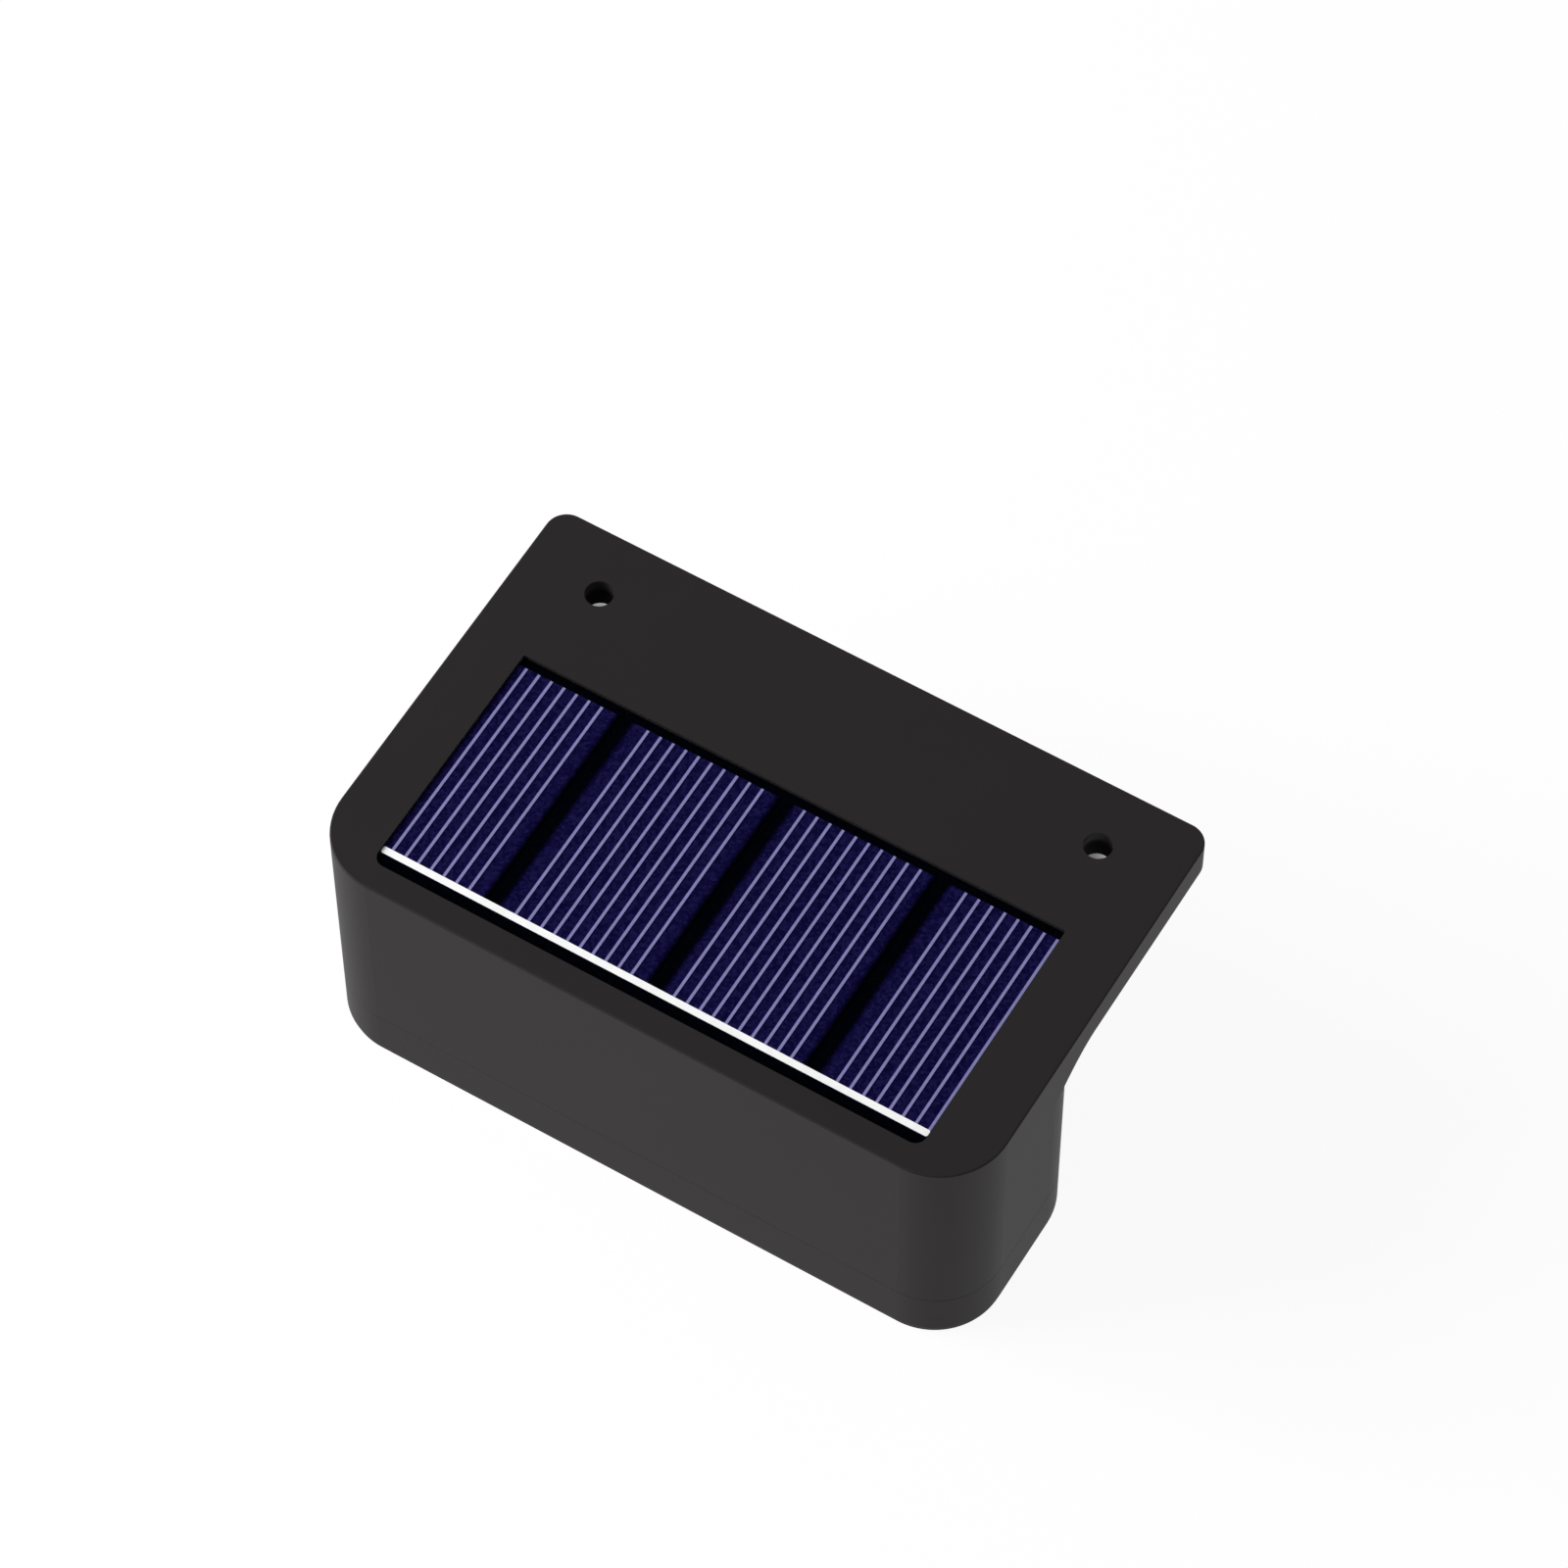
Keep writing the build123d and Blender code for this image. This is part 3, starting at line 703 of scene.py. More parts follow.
@dataclass(frozen=True)
class RoundedPlate:
    """A plate that fills a box, with rounded corners in plan; its underside may have its own relief."""

    low: Vector
    high: Vector
    front_corner: float
    rear_corner: float
    rows: int = 6
    corner_steps: int = 8

    def half(self) -> float:
        """Returns half of the plate's length."""
        return (self.high.x - self.low.x) / 2

    def inset(self, x: float, corner: float) -> float:
        """Returns how far a corner's arc stands in from the plate's edge at x, from the middle."""
        past = max(abs(x) - (self.half() - corner), 0.0)
        return corner - math.sqrt(max(corner * corner - past * past, 0.0))

    def columns(self, pitch: float) -> list[float]:
        """Works out the places along the length where the plate has a row of points.

        Args:
            pitch: largest step along the straight stretch.

        Returns:
            Places from the left end to the right end.
        """
        corner = max(self.front_corner, self.rear_corner)
        straight = self.half() - corner
        count = max(1, math.ceil(2 * straight / pitch))
        middle = [-straight + 2 * straight * step / count for step in range(count + 1)]
        turns = [math.pi / 2 * step / self.corner_steps for step in range(1, self.corner_steps + 1)]
        bends = [straight + corner * math.sin(turn) for turn in turns]
        return [-x for x in reversed(bends)] + middle + bends

    def mesh(self, pitch: float, relief: Relief | None = None) -> Mesh:
        """Builds the plate as a closed mesh.

        Args:
            pitch: largest step along the straight stretch.
            relief: height added to the underside at a place along the length.

        Returns:
            The plate's mesh.
        """
        mesh = bmesh.new()
        middle = (self.low.x + self.high.x) / 2
        layers: list[list[list[bmesh.types.BMVert]]] = [[], []]
        for x in self.columns(pitch):
            front = self.low.y + self.inset(x, self.front_corner)
            rear = self.high.y - self.inset(x, self.rear_corner)
            under = self.low.z + (relief(x) if relief else 0.0)
            for layer, height in zip(layers, (under, self.high.z)):
                steps = [front + (rear - front) * row / self.rows for row in range(self.rows + 1)]
                layer.append([mesh.verts.new((middle + x, y, height)) for y in steps])
        for layer in layers:
            for left, right in zip(layer, layer[1:]):
                for row in range(self.rows):
                    mesh.faces.new((left[row], right[row], right[row + 1], left[row + 1]))
        rims = [[[column[end] for column in layer] for layer in layers] for end in (0, -1)]
        rims += [[layer[end] for layer in layers] for end in (0, -1)]
        for low_rim, high_rim in rims:
            for step in range(len(low_rim) - 1):
                mesh.faces.new((low_rim[step], low_rim[step + 1], high_rim[step + 1], high_rim[step]))
        bmesh.ops.recalc_face_normals(mesh, faces=mesh.faces)
        return mesh


def add_object(name: str, data: bpy.types.ID) -> Piece:
    """Returns a new object that holds the data, in the scene."""
    made = bpy.data.objects.new(name, data)
    bpy.context.scene.collection.objects.link(made)
    return made


def solid(name: str, mesh: Mesh) -> Piece:
    """Returns a new object that holds the mesh, in the scene."""
    data = bpy.data.meshes.new(name)
    mesh.to_mesh(data)
    mesh.free()
    return add_object(name, data)


def combine(piece: Piece, tool: Piece, operation: str) -> None:
    """Joins a tool's solid to a piece or cuts it out, and removes the tool.

    Args:
        piece: the object that is changed.
        tool: the object that is joined or cut out.
        operation: "UNION" or "DIFFERENCE".
    """
    modifier = piece.modifiers.new(operation.lower(), "BOOLEAN")
    modifier.operation = operation
    modifier.object = tool
    modifier.solver = "EXACT"
    evaluated = piece.evaluated_get(bpy.context.evaluated_depsgraph_get())
    made = bpy.data.meshes.new_from_object(evaluated)
    piece.modifiers.clear()
    piece.data = made
    bpy.data.objects.remove(tool)


def repeat(piece: Piece, places: Sequence[Vector]) -> None:
    """Replaces a piece's mesh by copies of it.

    Args:
        piece: the object that is changed.
        places: how far each copy is moved.
    """
    source = bmesh.new()
    source.from_mesh(piece.data)
    base = list(source.verts) + list(source.edges) + list(source.faces)
    for place in places[1:]:
        made = bmesh.ops.duplicate(source, geom=base)["geom"]
        moved = [item for item in made if isinstance(item, bmesh.types.BMVert)]
        bmesh.ops.translate(source, verts=moved, vec=place)
    first = [item for item in base if isinstance(item, bmesh.types.BMVert)]
    bmesh.ops.translate(source, verts=first, vec=places[0])
    source.to_mesh(piece.data)
    source.free()


SMOOTH_LIMIT = math.radians(38.0)


def settle(
    piece: Piece, finishes: Sequence[Finish], body: Body, stands_for: Sequence[str] = ()
) -> Piece:
    """Gives a new piece its finish and its body, and hides the nodes that it stands for.

    Args:
        piece: the new object.
        finishes: one finish for each material index that its faces use.
        body: the body that it rides on.
        stands_for: the nodes that it replaces.

    Returns:
        The piece.
    """
    piece.data.materials.clear()
    for finish in finishes:
        piece.data.materials.append(finish.material())
    piece.data.shade_smooth()
    piece.data.set_sharp_from_angle(angle=SMOOTH_LIMIT)
    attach(piece, body.value)
    if stands_for:
        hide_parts(*stands_for)
    return piece


def dress(finishes: dict[str, Finish]) -> list[Piece]:
    """Gives each named node its finish in its own material slot, and returns the nodes' objects."""
    for node, finish in finishes.items():
        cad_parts[node].material_slots[0].material = finish.material()
    return [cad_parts[node] for node in finishes]


# Sub-assemblies

STEEL = Metal("screw_steel", (0.56, 0.56, 0.57), 0.32)
SHELL_COLOUR: Colour = (0.0117, 0.0110, 0.0113)
SHELL_SHEEN: Colour = (1.0, 0.80, 0.87)
SEAL_RUBBER = Moulded(
    "gasket_rubber", (0.012, 0.012, 0.013), 0.72, specular=0.3, grain=0.3, grain_depth=0.02
)


@dataclass
class HousingShells:
    """The two black mouldings and the gasket between them."""

    roughness: float = 0.53
    specular: float = 0.124
    hole_reach: float = 43.7 * MM
    hole_radius: float = 2.3 * MM
    rim_depth: float = 3.2 * MM
    # Painted shade on the holes' walls below their rim.
    bore_painted_shade: float = 0.9

    def top(self) -> BoredMoulding:
        """Returns the top housing's finish."""
        holes = ((-self.hole_reach, 0.0), (self.hole_reach, 0.0))
        return BoredMoulding(
            "housing_black", SHELL_COLOUR, self.roughness, self.specular, sheen_tint=SHELL_SHEEN,
            painted_shade_share=self.bore_painted_shade, bores=holes, bore_radius=self.hole_radius,
            bore_top=CAD_BOX[1].z, rim_depth=self.rim_depth,
        )

    def cover(self) -> Moulded:
        """Returns the cover's finish."""
        return Moulded(
            "cover_black", SHELL_COLOUR, self.roughness, self.specular, sheen_tint=SHELL_SHEEN
        )

    def build(self) -> list[Piece]:
        """Returns the dressed shells and gasket."""
        shells = {"top_housing": self.top(), "bottom_cover": self.cover()}
        return dress({**shells, "cover_gasket": SEAL_RUBBER})


@dataclass
class SolarPanel:
    """Board, tape, cells, printed lines, busbar and clear film."""

    cells: int = 4
    front_corner: float = 1.8 * MM
    rear_corner: float = 0.3 * MM
    film_lift: float = 0.02 * MM
    film_pitch: float = 6.0 * MM
    board: Printed = Printed(
        "panel_black", (0.0004, 0.0006, 0.0015), 0.7, specular=0.0,
        second_colour=(0.0007, 0.0010, 0.0023),
    )
    tape: Flecked = Flecked("tape_foam", (0.6, 0.6, 0.57), 0.9, fleck_colour=(0.42, 0.42, 0.4))
    lines: Printed = Printed(
        "finger_silver", (0.212, 0.200, 0.420), 0.6, specular=0.02,
        second_colour=(0.238, 0.226, 0.458), spot=0.7,
    )
    busbar: Printed = Printed(
        "busbar_white", (0.93, 0.93, 0.93), 0.6, specular=0.05,
        second_colour=(0.965, 0.965, 0.965), spot=1.2,
    )
    film: ClearFilm = ClearFilm("film_clear", (0.004, 0.004, 0.006), 0.3, specular=0.0)
    blue: Silicon = Silicon("cell_blue", (0.0032, 0.0024, 0.029), 0.6, specular=0.0)

    def silicon(self) -> Silicon:
        """Returns the cells' finish, with the gaps read from the nodes."""
        boxes = [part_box(f"solar_cell_{number}") for number in range(1, self.cells + 1)]
        gaps = tuple((left[1].x, right[0].x) for left, right in zip(boxes, boxes[1:]))
        return replace(self.blue, gaps=gaps)

    def clear_film(self) -> Piece:
        """Builds the film as a plate that stands a hair clear of what it covers.

        Returns:
            The film.
        """
        low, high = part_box("panel_film")
        lift = Vector((0.0, 0.0, self.film_lift))
        plate = RoundedPlate(low + lift, high, self.front_corner, self.rear_corner)
        piece = solid("clear_film", plate.mesh(self.film_pitch))
        return settle(piece, [self.film], Body.HOUSING, ["panel_film"])

    def build(self) -> list[Piece]:
        """Returns the dressed panel."""
        silicon = self.silicon()
        finishes = {"panel_board": self.board, "panel_tape": self.tape}
        finishes |= {f"solar_cell_{number}": silicon for number in range(1, self.cells + 1)}
        finishes |= {"cell_fingers": self.lines, "busbar": self.busbar}
        return [*dress(finishes), self.clear_film()]


@dataclass
class LightWindow:
    """The fluted lens in the underside, its seal, the reflector and the LEDs behind it."""

    flange: float = 1.2 * MM
    ledge: float = 2.2 * MM
    flange_corner: float = 2.0 * MM
    plug_corner: float = 1.8 * MM
    overlap: float = 0.3 * MM
    flute_pitch: float = 2.0 * MM
    flute_height: float = 0.25 * MM
    flute_steps: int = 8
    led_count: int = 6
    led_length: float = 3.5 * MM
    led_bevel: float = 0.12 * MM
    led_rim: float = 0.45 * MM
    led_well: float = 0.2 * MM
    bevel_steps: int = 2
    lens: Frosted = Frosted("lens_frosted", (0.9, 0.91, 0.9), 0.42)
    reflector: Moulded = Moulded("reflector_white", (0.86, 0.86, 0.85), 0.32, tone_spread=0.03)
    phosphor: Flecked = Flecked(
        "led_yellow", (0.85, 0.62, 0.12), 0.5, fleck_colour=(0.95, 0.78, 0.25), fleck=0.12
    )

    def flute(self, x: float) -> float:
        """Returns how far the lens's face stands in at a place along its length."""
        share = (x / self.flute_pitch) % 1.0
        crown = 1.0 - (2.0 * share - 1.0) ** 2
        return self.flute_height * (1.0 - crown)

    def fluted_lens(self) -> Piece:
        """Builds the lens: a flange on the seal and a fluted block in the window.

        Returns:
            The lens.
        """
        low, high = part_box("lens")
        seat = high.z - self.flange
        ledge = Vector((self.ledge, self.ledge, 0.0))
        block_top = Vector((high.x, high.y, seat + self.overlap)) - ledge
        flange = RoundedPlate(Vector((low.x, low.y, seat)), high, self.flange_corner, self.flange_corner)
        block = RoundedPlate(low + ledge, block_top, self.plug_corner, self.plug_corner)
        piece = solid("fluted_lens", flange.mesh(self.flute_pitch))
        fluted = solid("lens_block", block.mesh(self.flute_pitch / self.flute_steps, self.flute))
        combine(piece, fluted, "UNION")
        return settle(piece, [self.lens], Body.HOUSING, ["lens"])

    def led_row(self) -> Piece:
        """Builds the LEDs: white bodies with a phosphor well in the face that looks down.

        Returns:
            The row of LEDs.
        """
        low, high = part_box("leds")
        pitch = (high.x - low.x - self.led_length) / (self.led_count - 1)
        size = Vector((self.led_length, high.y - low.y, high.z - low.z))
        mesh = bmesh.new()
        bmesh.ops.create_cube(mesh, size=1.0, matrix=Matrix.Diagonal((*size, 1.0)))
        bmesh.ops.bevel(
            mesh, geom=mesh.edges[:], offset=self.led_bevel, segments=self.bevel_steps, affect="EDGES"
        )
        face = min(mesh.faces, key=lambda item: item.calc_center_median().z - item.calc_area() / MM)
        bmesh.ops.inset_individual(mesh, faces=[face], thickness=self.led_rim)
        bmesh.ops.translate(mesh, verts=face.verts[:], vec=(0.0, 0.0, self.led_well))
        face.material_index = 1
        piece = solid("led_row", mesh)
        middle = (low + high) / 2
        first = low.x + self.led_length / 2
        places = [Vector((first + pitch * step, middle.y, middle.z)) for step in range(self.led_count)]
        repeat(piece, places)
        return settle(piece, [self.reflector, self.phosphor], Body.HOUSING, ["leds"])

    def build(self) -> list[Piece]:
        """Returns the dressed light window."""
        dressed = dress({"lens_seal": SEAL_RUBBER, "reflector": self.reflector})
        return [self.fluted_lens(), *dressed, self.led_row()]


@dataclass
class CoverScrews:
    """The four screws that hold the cover, with rounded heads, cross recesses and threads."""

    head_radius: float = 2.8 * MM
    head_height: float = 2.0 * MM
    head_edge: float = 0.7 * MM
    crown: float = 0.25 * MM
    shank_radius: float = 1.45 * MM
    thread_pitch: float = 0.8 * MM
    thread_depth: float = 0.22 * MM
    tip: float = 0.8 * MM
    recess_arms: int = 4
    recess_reach: float = 1.35 * MM
    recess_width: float = 0.36 * MM
    recess_depth: float = 1.1 * MM
    recess_taper: float = 0.55
    segments: int = 64
    edge_steps: int = 6

    def profile(self, length: float) -> list[Point]:
        """Works out the screw's half outline from the head's face, at height 0, to its tip.

        Args:
            length: the whole screw's length.

        Returns:
            Radius and height of each point.
        """
        edge = (self.head_radius - self.head_edge, self.crown + self.head_edge)
        points = [(0.0, 0.0), (edge[0] / 2, self.crown / 4)]
        points += arc(edge, self.head_edge, DOWNWARD, OUTWARD, self.edge_steps)
        points += [(self.head_radius, self.head_height), (self.shank_radius, self.head_height)]
        turns = int((length - self.tip - self.head_height) / self.thread_pitch)
        root = self.shank_radius - self.thread_depth
        for turn in range(turns):
            start = self.head_height + turn * self.thread_pitch
            points += [(root, start + self.thread_pitch / 3), (root, start + 2 * self.thread_pitch / 3)]
            points += [(self.shank_radius, start + self.thread_pitch)]
        points += [(self.shank_radius / 2, length), (0.0, length)]
        return points

    def recess(self) -> Mesh:
        """Builds the cross that is cut into the head's face, narrower inside.

        Returns:
            The cross's mesh.
        """
        reach, half = self.recess_reach, self.recess_width / 2
        arm = [(half, -half), (reach, -half), (reach, half)]
        mesh = bmesh.new()
        rims = []
        for height, shrink in ((-self.crown, 1.0), (self.recess_depth, self.recess_taper)):
            rim = []
            for number in range(self.recess_arms):
                turn = Matrix.Rotation(2.0 * math.pi * number / self.recess_arms, 3, "Z")
                for x, y in arm:
                    across = shrink if x == reach else 1.0
                    rim.append(mesh.verts.new(turn @ Vector((x * across, y, height))))
            mesh.faces.new(rim)
            rims.append(rim)
        low, high = rims
        for step in range(len(low)):
            after = (step + 1) % len(low)
            mesh.faces.new((low[step], low[after], high[after], high[step]))
        bmesh.ops.recalc_face_normals(mesh, faces=mesh.faces)
        return mesh

    def build(self) -> list[Piece]:
        """Builds the four screws as one piece.

        Returns:
            The piece, in a list.
        """
        low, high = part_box("cover_screws")
        piece = solid("cover_screw_set", lathe(self.profile(high.z - low.z), self.segments))
        combine(piece, solid("screw_recess", self.recess()), "DIFFERENCE")
        places = [
            Vector((x, y, low.z))
            for x in (low.x + self.head_radius, high.x - self.head_radius)
            for y in (low.y + self.head_radius, high.y - self.head_radius)
        ]
        repeat(piece, places)
        return [settle(piece, [STEEL], Body.HOUSING, ["cover_screws"])]


@dataclass
class PowerSwitch:
    """The push button in the underside and the switch that it works."""

    stem_radius: float = 3.4 * MM
    flange_height: float = 1.0 * MM
    face_edge: float = 0.6 * MM
    dish: float = 0.22 * MM
    ring_radius: float = 2.3 * MM
    ring_width: float = 0.5 * MM
    ring_height: float = 0.16 * MM
    segments: int = 72
    edge_steps: int = 6
    rubber: Moulded = Moulded(
        "button_rubber", (0.05, 0.05, 0.052), 0.66, specular=0.3, grain=0.22, grain_depth=0.012
    )
    plunger: Moulded = Moulded("plunger_white", (0.78, 0.78, 0.75), 0.4, tone_spread=0.04)
    case: Moulded = Moulded("chip_black", (0.016, 0.016, 0.017), 0.45, variant="case", grain=0.12)

    def profile(self, low: float, high: float, flange_radius: float) -> list[Point]:
        """Works out the button's half outline from the middle of its face to the middle of its top.

        Args:
            low: height of the face's rim.
            high: height of the flange's top.
            flange_radius: the flange's radius.

        Returns:
            Radius and height of each point.
        """
        floor = low + self.dish
        ring = [
            (self.ring_radius - self.ring_width / 2, floor),
            (self.ring_radius - self.ring_width / 4, floor - self.ring_height),
            (self.ring_radius + self.ring_width / 4, floor - self.ring_height),
            (self.ring_radius + self.ring_width / 2, floor),
        ]
        centre = (self.stem_radius - self.face_edge, low + self.face_edge)
        edge = arc(centre, self.face_edge, DOWNWARD, OUTWARD, self.edge_steps)
        under = high - self.flange_height
        collar = [(self.stem_radius, under), (flange_radius, under), (flange_radius, high), (0.0, high)]
        return [(0.0, floor), *ring, *edge, *collar]

    def button(self) -> Piece:
        """Builds the button: a soft cap with a raised ring on its face and a flange inside the cover.

        Returns:
            The button.
        """
        low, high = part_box("power_button")
        middle = (low + high) / 2
        flange_radius = (high.x - low.x) / 2
        mesh = lathe(self.profile(low.z, high.z, flange_radius), self.segments)
        bmesh.ops.translate(mesh, verts=mesh.verts[:], vec=(middle.x, middle.y, 0.0))
        return settle(solid("button_cap", mesh), [self.rubber], Body.BUTTON, ["power_button"])

    def build(self) -> list[Piece]:
        """Returns the dressed button and switch."""
        return [self.button(), *dress({"switch_plunger": self.plunger, "switch_body": self.case})]


@dataclass
class ControlBoard:
    """The board above the lens and the components on it."""

    wire_diameter: float = 0.5 * MM
    core_radius: float = 2.45 * MM
    winding_radius: float = 3.3 * MM
    rim: float = 1.25 * MM
    leg_reach: float = 1.0 * MM
    sleeve_top: float = 0.25 * MM
    bump_turn: float = 80.0
    bump_steps: int = 6
    segments: int = 48
    board: CircuitBoard = CircuitBoard("board_green", (0.012, 0.13, 0.045), 0.35)
    ferrite: Moulded = Moulded("ferrite_grey", (0.05, 0.05, 0.054), 0.6, grain=0.35, grain_depth=0.02)
    copper: Metal = Metal("tab_nickel", (0.72, 0.33, 0.14), 0.28, variant="copper", streak=0.2)
    chip: Banded = Banded(
        "chip_black", (0.016, 0.016, 0.017), 0.42, axis=Axis.DEPTH, end_colour=(0.7, 0.7, 0.7)
    )
    sleeve: Banded = Banded(
        "sleeve_blue", (0.014, 0.035, 0.16), 0.3, axis=Axis.UP, end_colour=(0.72, 0.73, 0.74)
    )

    def winding(self) -> Piece:
        """Builds the inductor's copper turns between its two rims.

        Returns:
            The winding.
        """
        low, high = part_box("inductor")
        bottom, top = low.z + self.rim, high.z - self.rim
        turns = int((top - bottom) / self.wire_diameter)
        pitch = (top - bottom) / turns
        loop = [(self.core_radius, top), (self.core_radius, bottom)]
        for turn in range(turns):
            centre = (self.winding_radius, bottom + (turn + 0.5) * pitch)
            loop += arc(centre, pitch / 2, -self.bump_turn, self.bump_turn, self.bump_steps)
        mesh = lathe(loop, self.segments, ring=True)
        middle = (low + high) / 2
        bmesh.ops.translate(mesh, verts=mesh.verts[:], vec=(middle.x, middle.y, 0.0))
        return settle(solid("inductor_winding", mesh), [self.copper], Body.HOUSING)

    def build(self) -> list[Piece]:
        """Returns the dressed board and components."""
        finishes = {
            "control_board": self.board,
            "board_screws": STEEL,
            "driver_chip": self.chip.within(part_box("driver_chip"), self.leg_reach, self.leg_reach),
            "inductor": self.ferrite,
            "capacitor": self.sleeve.within(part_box("capacitor"), 0.0, self.sleeve_top),
        }
        return [*dress(finishes), self.winding()]


@dataclass
class BatteryPack:
    """The cell, its tabs, its cradle and all the leads."""

    bare_end: float = 0.7 * MM
    nickel: Metal = Metal("tab_nickel", (0.62, 0.6, 0.56), 0.3)
    cradle: Moulded = Moulded("cradle_grey", (0.07, 0.07, 0.072), 0.5)
    red: Moulded = Moulded("lead_red", (0.42, 0.012, 0.014), 0.38, grain=0.4)
    black: Moulded = Moulded("lead_black", (0.012, 0.012, 0.012), 0.38, grain=0.4)
    sleeve: Banded = Banded("battery_green", (0.02, 0.22, 0.07), 0.3, end_colour=(0.66, 0.66, 0.65))

    def build(self) -> list[Piece]:
        """Returns the dressed pack and leads."""
        finishes = {
            "battery": self.sleeve.within(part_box("battery"), self.bare_end, self.bare_end),
            "battery_tabs": self.nickel,
            "battery_cradle": self.cradle,
            "cradle_screws": STEEL,
        }
        for run in ("battery", "panel"):
            finishes |= {f"{run}_lead_red": self.red, f"{run}_lead_black": self.black}
        return dress(finishes)


# Stage, lamps and camera


def direction(azimuth: float, elevation: float) -> Vector:
    """Returns the unit vector towards a place round the part: azimuth 0 is in front, 90 on its right."""
    turn, rise = math.radians(azimuth), math.radians(elevation)
    return Vector((math.sin(turn) * math.cos(rise), -math.cos(turn) * math.cos(rise), math.sin(rise)))


@dataclass(frozen=True)
class Lamp:
    """A soft square lamp that looks at the part."""

    name: str
    azimuth: float
    elevation: float
    distance: float
    side: float
    watts: float

    def build(self, aim: Vector) -> Piece:
        """Places the lamp round a point.

        Args:
            aim: the point that the lamp looks at.

        Returns:
            The lamp.
        """
        data = bpy.data.lights.new(self.name, "AREA")
        data.shape = "SQUARE"
        data.size = self.side
        data.energy = self.watts
        lamp = add_object(self.name, data)
        back = direction(self.azimuth, self.elevation)
        lamp.location = aim + back * self.distance
        lamp.rotation_euler = (-back).to_track_quat("-Z", "Y").to_euler()
        return lamp


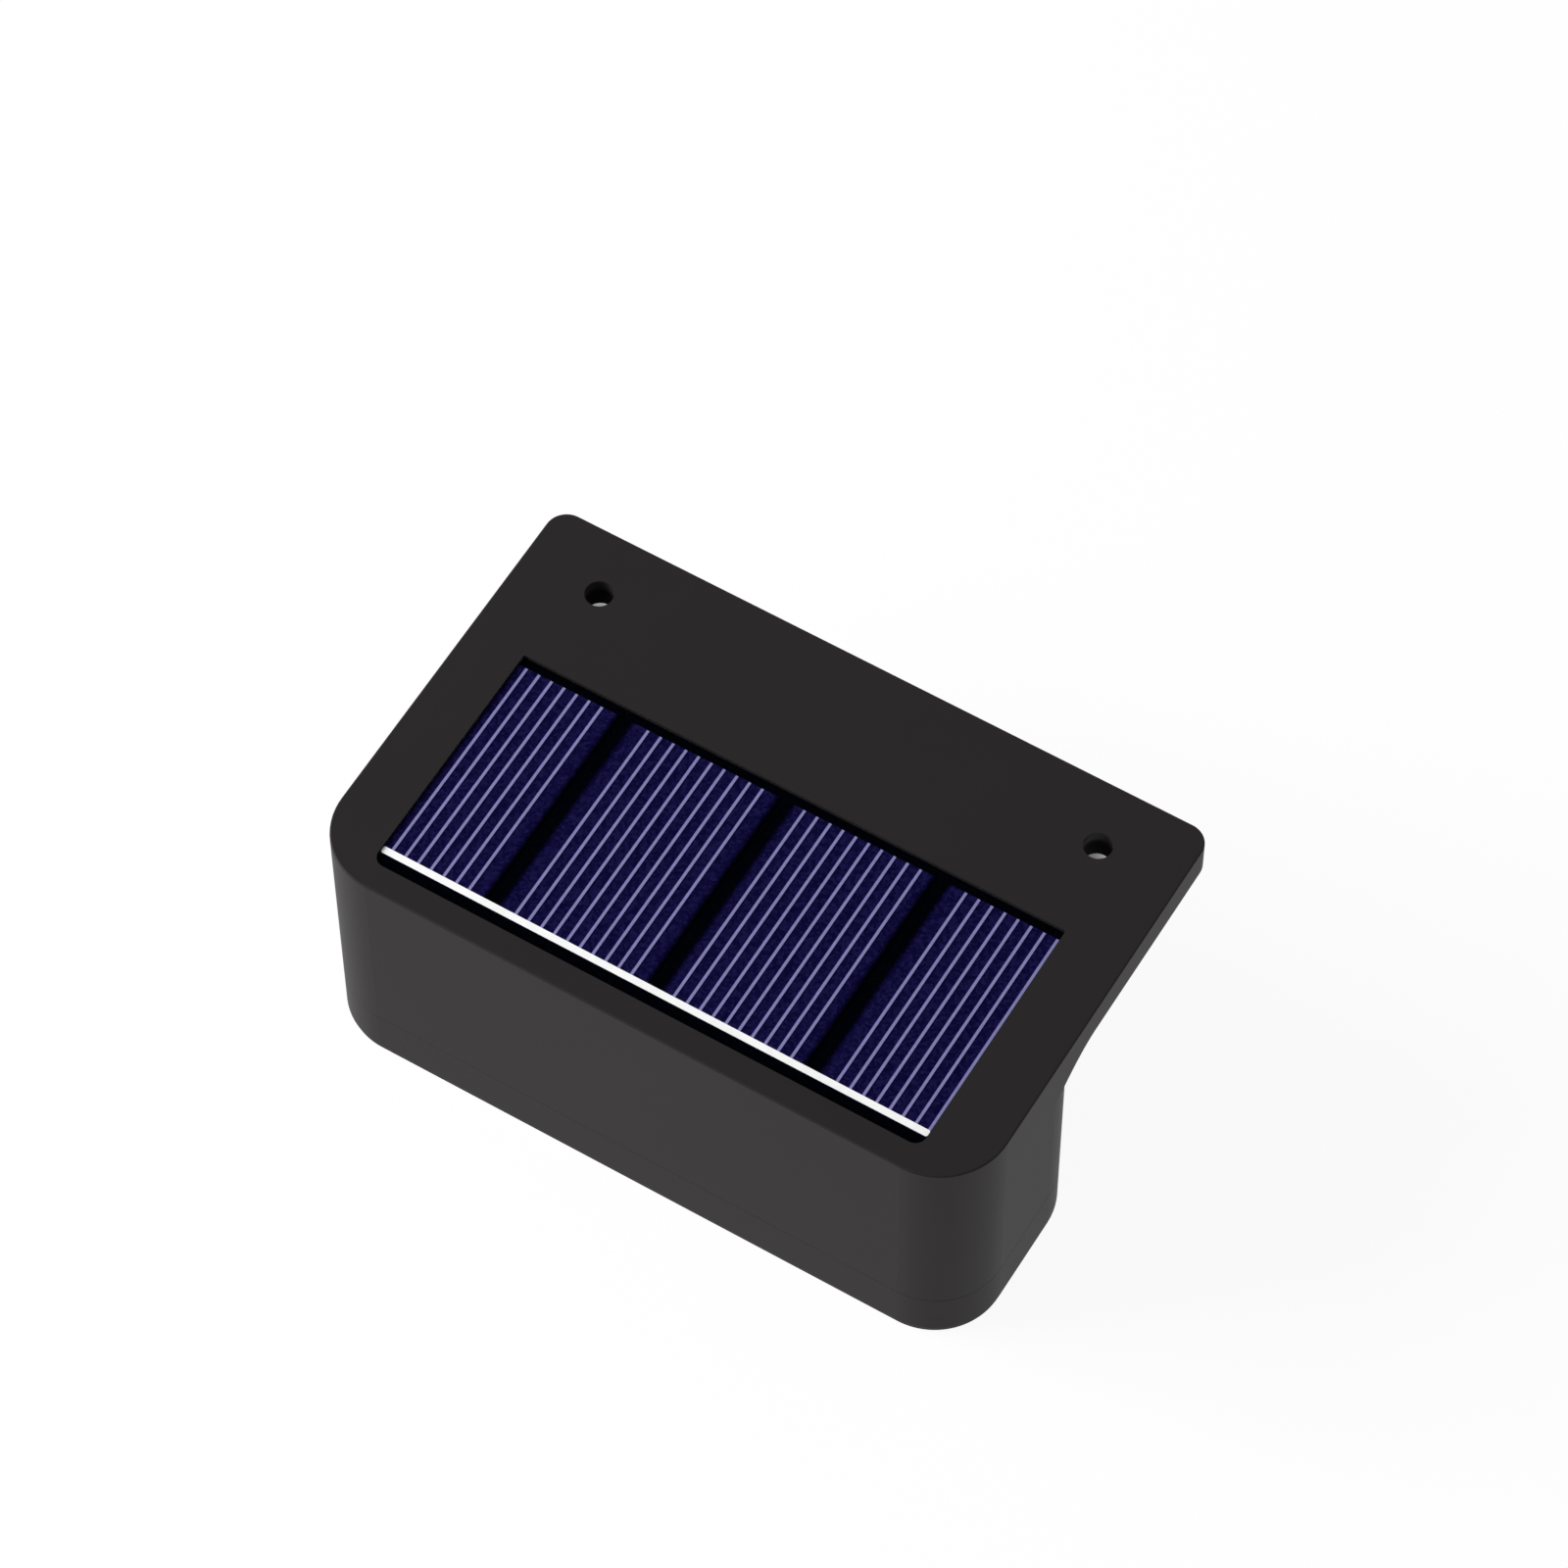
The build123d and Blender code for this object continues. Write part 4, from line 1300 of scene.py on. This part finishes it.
@dataclass
class Studio:
    """A white floor under a white sky, with soft lamps."""

    floor_side: float = 6.0
    floor_gap: float = 0.02 * MM
    floor_colour: Colour = (0.96, 0.96, 0.96)
    white_share: float = 0.93
    # Colour of the painted shadow under and behind the flange.
    shade_colour: Colour = (0.26, 0.26, 0.26)
    shade_across: Point = (-60.0 * MM, 29.0 * MM)
    shade_depth: Point = (-24.0 * MM, 23.0 * MM)
    shade_soft: float = 13.0 * MM
    # Where the painted black contact shadow lies under the body's bottom edge.
    foot_corner: float = 11.4 * MM
    foot_inset: float = 0.34 * MM
    foot_width: float = 0.7 * MM
    foot_soft: float = 0.09 * MM
    sky_level: float = 0.3
    lamps: tuple[Lamp, ...] = (
        Lamp("key_lamp", azimuth=-65.0, elevation=25.0, distance=1.5, side=1.05, watts=44.0),
    )

    def seen(self, tree: Tree) -> Socket:
        """Returns a mask that is 1 for rays from the camera, a glossy surface or glass."""
        path = tree.node("LightPath").outputs
        direct = tree.math("MAXIMUM", path["Is Camera Ray"], path["Is Glossy Ray"])
        return tree.math("MAXIMUM", direct, path["Is Transmission Ray"])

    def shade(self, tree: Tree) -> Socket:
        """Returns a soft mask of the floor under and behind the flange, where a shadow is painted darker
        and the floor's own shading shows.
        """
        across = BAND.add(tree, tree.along(Axis.ACROSS), *self.shade_across, self.shade_soft)
        depth = BAND.add(tree, tree.along(Axis.DEPTH), *self.shade_depth, self.shade_soft)
        return tree.math("MULTIPLY", across["Mask"], depth["Mask"])

    def painted_contact_shadow(self, tree: Tree) -> Socket:
        """Adds a thin mask of the floor under the body's rounded bottom edge, where a black contact shadow
        is painted.

        Args:
            tree: the floor's tree.

        Returns:
            The mask.
        """
        low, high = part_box("bottom_cover")
        middle = (low + high) / 2
        straight = (high - low) / 2 - Vector((self.foot_corner, self.foot_corner, 0.0))
        place = tree.vector("SUBTRACT", tree.place(), (middle.x, middle.y, 0.0))
        past = tree.vector("SUBTRACT", tree.vector("ABSOLUTE", place), (straight.x, straight.y, 0.0))
        reach = tree.vector("LENGTH", tree.vector("MAXIMUM", past, ORIGIN), result="Value")
        edge = self.foot_corner - self.foot_inset
        return BAND.add(tree, reach, edge - self.foot_width, edge, self.foot_soft)["Mask"]

    def floor(self) -> Piece:
        """Builds the floor: white above, clear from below, with a faint real shadow and painted shadows
        under and behind the part.

        Returns:
            The floor.
        """
        mesh = bmesh.new()
        bmesh.ops.create_grid(mesh, x_segments=1, y_segments=1, size=self.floor_side / 2)
        floor = solid("floor", mesh)
        floor.location.z = CAD_BOX[0].z - self.floor_gap
        material = bpy.data.materials.new("floor_white")
        material.use_nodes = True
        material.cycles.emission_sampling = "NONE"
        tree = Tree(material.node_tree)
        material.node_tree.nodes.clear()
        shade, painted_contact_shadow = self.shade(tree), self.painted_contact_shadow(tree)
        # Painted shadows: the floor turns darker under and behind the flange, and black under the body's
        # bottom edge.
        shaded = tree.mix(shade, self.floor_colour, self.shade_colour)
        matt = tree.node("BsdfDiffuse", {"Color": tree.mix(painted_contact_shadow, shaded, BLACK)})
        white = tree.node("Emission", {"Color": WHITE, "Strength": 1.0})
        dark = tree.math("MAXIMUM", shade, painted_contact_shadow)
        glow = tree.span(dark, 0.0, 1.0, self.white_share, 0.0)
        share = tree.math("MULTIPLY", self.seen(tree), glow)
        shown = tree.node("MixShader", {0: share, 1: matt.outputs[0], 2: white.outputs[0]})
        below = tree.node("NewGeometry").outputs["Backfacing"]
        clear = tree.node("BsdfTransparent")
        whole = tree.node("MixShader", {0: below, 1: shown.outputs[0], 2: clear.outputs[0]})
        tree.node("OutputMaterial", {"Surface": whole.outputs[0]})
        floor.data.materials.append(material)
        return floor

    def sky(self) -> None:
        """Sets the world: an even soft light that the camera and glossy surfaces see as white."""
        world = bpy.data.worlds.new("white_sky")
        world.use_nodes = True
        world.cycles.sampling_method = "NONE"
        bpy.context.scene.world = world
        tree = Tree(world.node_tree)
        world.node_tree.nodes.clear()
        level = tree.span(self.seen(tree), 0.0, 1.0, self.sky_level, 1.0)
        light = tree.node("Background", {"Color": WHITE, "Strength": level})
        tree.node("OutputWorld", {"Surface": light.outputs[0]})

    def build(self, aim: Vector) -> None:
        """Makes floor, sky and lamps.

        Args:
            aim: the point that the lamps look at.
        """
        self.floor()
        self.sky()
        for lamp in self.lamps:
            lamp.build(aim)
        bpy.context.scene.view_settings.view_transform = "Standard"


@dataclass
class Viewpoint:
    """The photograph's camera, fitted to the part's edges."""

    azimuth: float = 31.116
    elevation: float = 58.006
    roll: float = -0.117
    distance: float = 1.028854
    aim: tuple[float, float, float] = (-1.967 * MM, -14.796 * MM, 6.0 * MM)
    lens: float = 157.788
    sensor: float = 36.0

    def build(self) -> Piece:
        """Builds the scene's camera.

        Returns:
            The camera.
        """
        data = bpy.data.cameras.new("photo_camera")
        data.lens = self.lens
        data.sensor_width = self.sensor
        camera = add_object("photo_camera", data)
        back = direction(self.azimuth, self.elevation)
        camera.location = Vector(self.aim) + back * self.distance
        roll = Euler((0.0, 0.0, math.radians(self.roll))).to_quaternion()
        camera.rotation_euler = ((-back).to_track_quat("-Z", "Y") @ roll).to_euler()
        bpy.context.scene.camera = camera
        return camera


def main() -> None:
    """Builds the sub-assemblies in order, then the stage and the camera."""
    logging.basicConfig(level=logging.INFO, format="%(name)s: %(message)s")
    assemblies = (
        HousingShells(),
        SolarPanel(),
        LightWindow(),
        CoverScrews(),
        PowerSwitch(),
        ControlBoard(),
        BatteryPack(),
    )
    for assembly in assemblies:
        for piece in assembly.build():
            LOG.info("%s: %s", type(assembly).__name__, piece.name)
    view = Viewpoint()
    Studio().build(Vector(view.aim))
    view.build()


if __name__ == "__main__":
    main()
